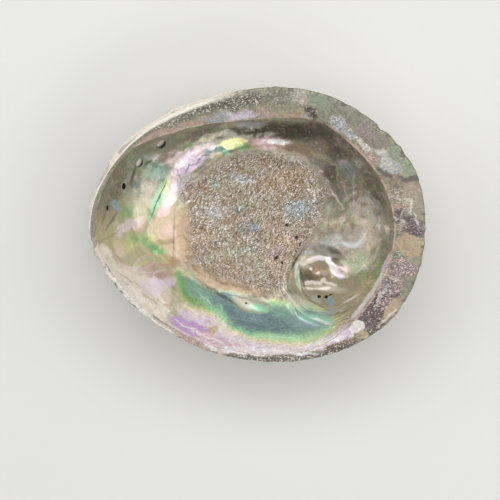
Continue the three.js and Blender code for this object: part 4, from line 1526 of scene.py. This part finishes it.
def outside_material(painter, finish):
    """Outside of the shell, polished down to pale nacre: bands that follow the growth lines."""
    nodes = painter.nodes
    drift = painter.noise(18, detail=3.0, roughness=0.55, distortion=0.6)
    banding = nodes.bands(nodes.times_plus(drift, 0.14, painter.growth), 14, detail=3.0)
    base = painter.blend(drift, "cream", "pearl")
    for tint, low, high, amount in OUTSIDE_BANDS:
        base = painter.tint(base, nodes.step(banding, low, high), tint, amount)
    base = painter.sheen(base, size=22, turns=5.0, amount=0.5)
    wear = painter.noise(3, detail=4.0, roughness=0.7)
    base = painter.tint(base, nodes.step(wear, 0.6, 0.75), "sand", 0.5)
    return painter.polish(base, nodes.step(wear, 0.55, 0.8), nodes.times(wear, 0.3), finish)


def shell_materials(colours, finish):
    """Materials of the bowl, the ledge and the outside, in the order of the faces' material numbers."""
    palette = {key: linear(getattr(colours, key)) for key in COLOURS}
    groups = {
        "patch": patch_group(),
        "ragged": ragged_group(),
        "grain": grain_group(),
        "sheen": sheen_group(palette),
    }
    makers = {
        "bowl_nacre": bowl_material,
        "ledge_nacre": ledge_material,
        "outside_nacre": outside_material,
    }
    return [make(Painter(name, groups, palette), finish) for name, make in makers.items()]


# Stage


def plain_material(name, srgb, roughness):
    material = bpy.data.materials.new(name)
    material.use_nodes = True
    shader = material.node_tree.nodes["Principled BSDF"]
    shader.inputs["Base Color"].default_value = linear(srgb)
    shader.inputs["Roughness"].default_value = roughness
    return material


def add_light(name, at, size, power):
    bpy.ops.object.light_add(type="AREA", location=at)
    light = bpy.context.object
    light.name = name
    light.data.shape = "RECTANGLE"
    light.data.size, light.data.size_y = size
    light.data.energy = power
    aim = Vector((0, 0, LIT_HEIGHT)) - light.location
    light.rotation_euler = aim.to_track_quat("-Z", "Y").to_euler()


def light_world(stage):
    world = bpy.data.worlds.new("Pale room")
    world.use_nodes = True
    background = world.node_tree.nodes["Background"]
    background.inputs["Color"].default_value = linear(stage.world_colour)
    background.inputs["Strength"].default_value = stage.world_strength
    bpy.context.scene.world = world


def add_camera(stage):
    at = (VIEW_MIDDLE[0] * MM, VIEW_MIDDLE[1] * MM, SHELL_HIGH.z + stage.camera_height)
    bpy.ops.object.camera_add(location=at, rotation=(0, 0, 0))
    camera = bpy.context.object
    camera.data.sensor_width = SENSOR_WIDTH
    camera.data.lens = SENSOR_WIDTH * stage.camera_height / stage.view_width
    bpy.context.scene.camera = camera


# Add-on


class ABALONE_OT_add_shell(bpy.types.Operator):
    """Model the shell from a sphere, roughen it, pierce its pores and give it its finish"""

    bl_idname = "abalone.add_shell"
    bl_label = "Add Shell"
    bl_options = {"REGISTER", "UNDO"}

    def execute(self, context):
        scene = context.scene
        sizes = scene.abalone_sizes
        shell = mould_sphere(sizes)
        soften_edges(shell)
        for relief in RELIEFS:
            roughen(shell, relief)
        pierce_pores(shell, sizes)
        bpy.ops.object.shade_smooth_by_angle(angle=math.radians(SMOOTH_ANGLE))
        for i, material in enumerate(shell_materials(scene.abalone_colours, scene.abalone_finish)):
            shell.data.materials[i] = material
        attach(shell, "root")
        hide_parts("shell")
        return {"FINISHED"}


class ABALONE_OT_add_stage(bpy.types.Operator):
    """Add the floor, the lights and the camera"""

    bl_idname = "abalone.add_stage"
    bl_label = "Add Stage"
    bl_options = {"REGISTER", "UNDO"}

    def execute(self, context):
        stage = context.scene.abalone_stage
        deselect_all()
        bpy.ops.mesh.primitive_plane_add(size=FLOOR_SIZE)
        floor = context.object
        floor.name = "floor"
        floor.data.materials.append(plain_material("pale_floor", stage.floor_colour, FLOOR_ROUGHNESS))
        for name, at, size, setting in LIGHTS:
            add_light(name, at, size, getattr(stage, setting))
        light_world(stage)
        add_camera(stage)
        context.scene.view_settings.view_transform = "Standard"
        return {"FINISHED"}


class ABALONE_PT_panel(bpy.types.Panel):
    """Settings of the shell and its stage"""

    bl_idname = "ABALONE_PT_panel"
    bl_label = "Abalone Shell"
    bl_space_type = "VIEW_3D"
    bl_region_type = "UI"
    bl_category = "Shell"

    def draw(self, context):
        layout = self.layout
        layout.use_property_split = True
        scene = context.scene
        for title, settings in (
            ("Sizes", scene.abalone_sizes), ("Colours", scene.abalone_colours),
            ("Finish", scene.abalone_finish), ("Stage", scene.abalone_stage),
        ):
            box = layout.box()
            box.label(text=title)
            for name in settings.__annotations__:
                box.prop(settings, name)
        layout.operator(ABALONE_OT_add_shell.bl_idname)
        layout.operator(ABALONE_OT_add_stage.bl_idname)


SETTINGS = (
    ("abalone_sizes", ShellSizes), ("abalone_colours", ShellColours),
    ("abalone_finish", ShellFinish), ("abalone_stage", StageSettings),
)
CLASSES = (ABALONE_OT_add_shell, ABALONE_OT_add_stage, ABALONE_PT_panel)


def register():
    for name, settings in SETTINGS:
        bpy.utils.register_class(settings)
        setattr(bpy.types.Scene, name, PointerProperty(type=settings))
    for cls in CLASSES:
        bpy.utils.register_class(cls)


def unregister():
    for cls in reversed(CLASSES):
        bpy.utils.unregister_class(cls)
    for name, settings in reversed(SETTINGS):
        delattr(bpy.types.Scene, name)
        bpy.utils.unregister_class(settings)


def main():
    register()
    bpy.ops.abalone.add_shell()
    bpy.ops.abalone.add_stage()


if __name__ == "__main__":
    main()
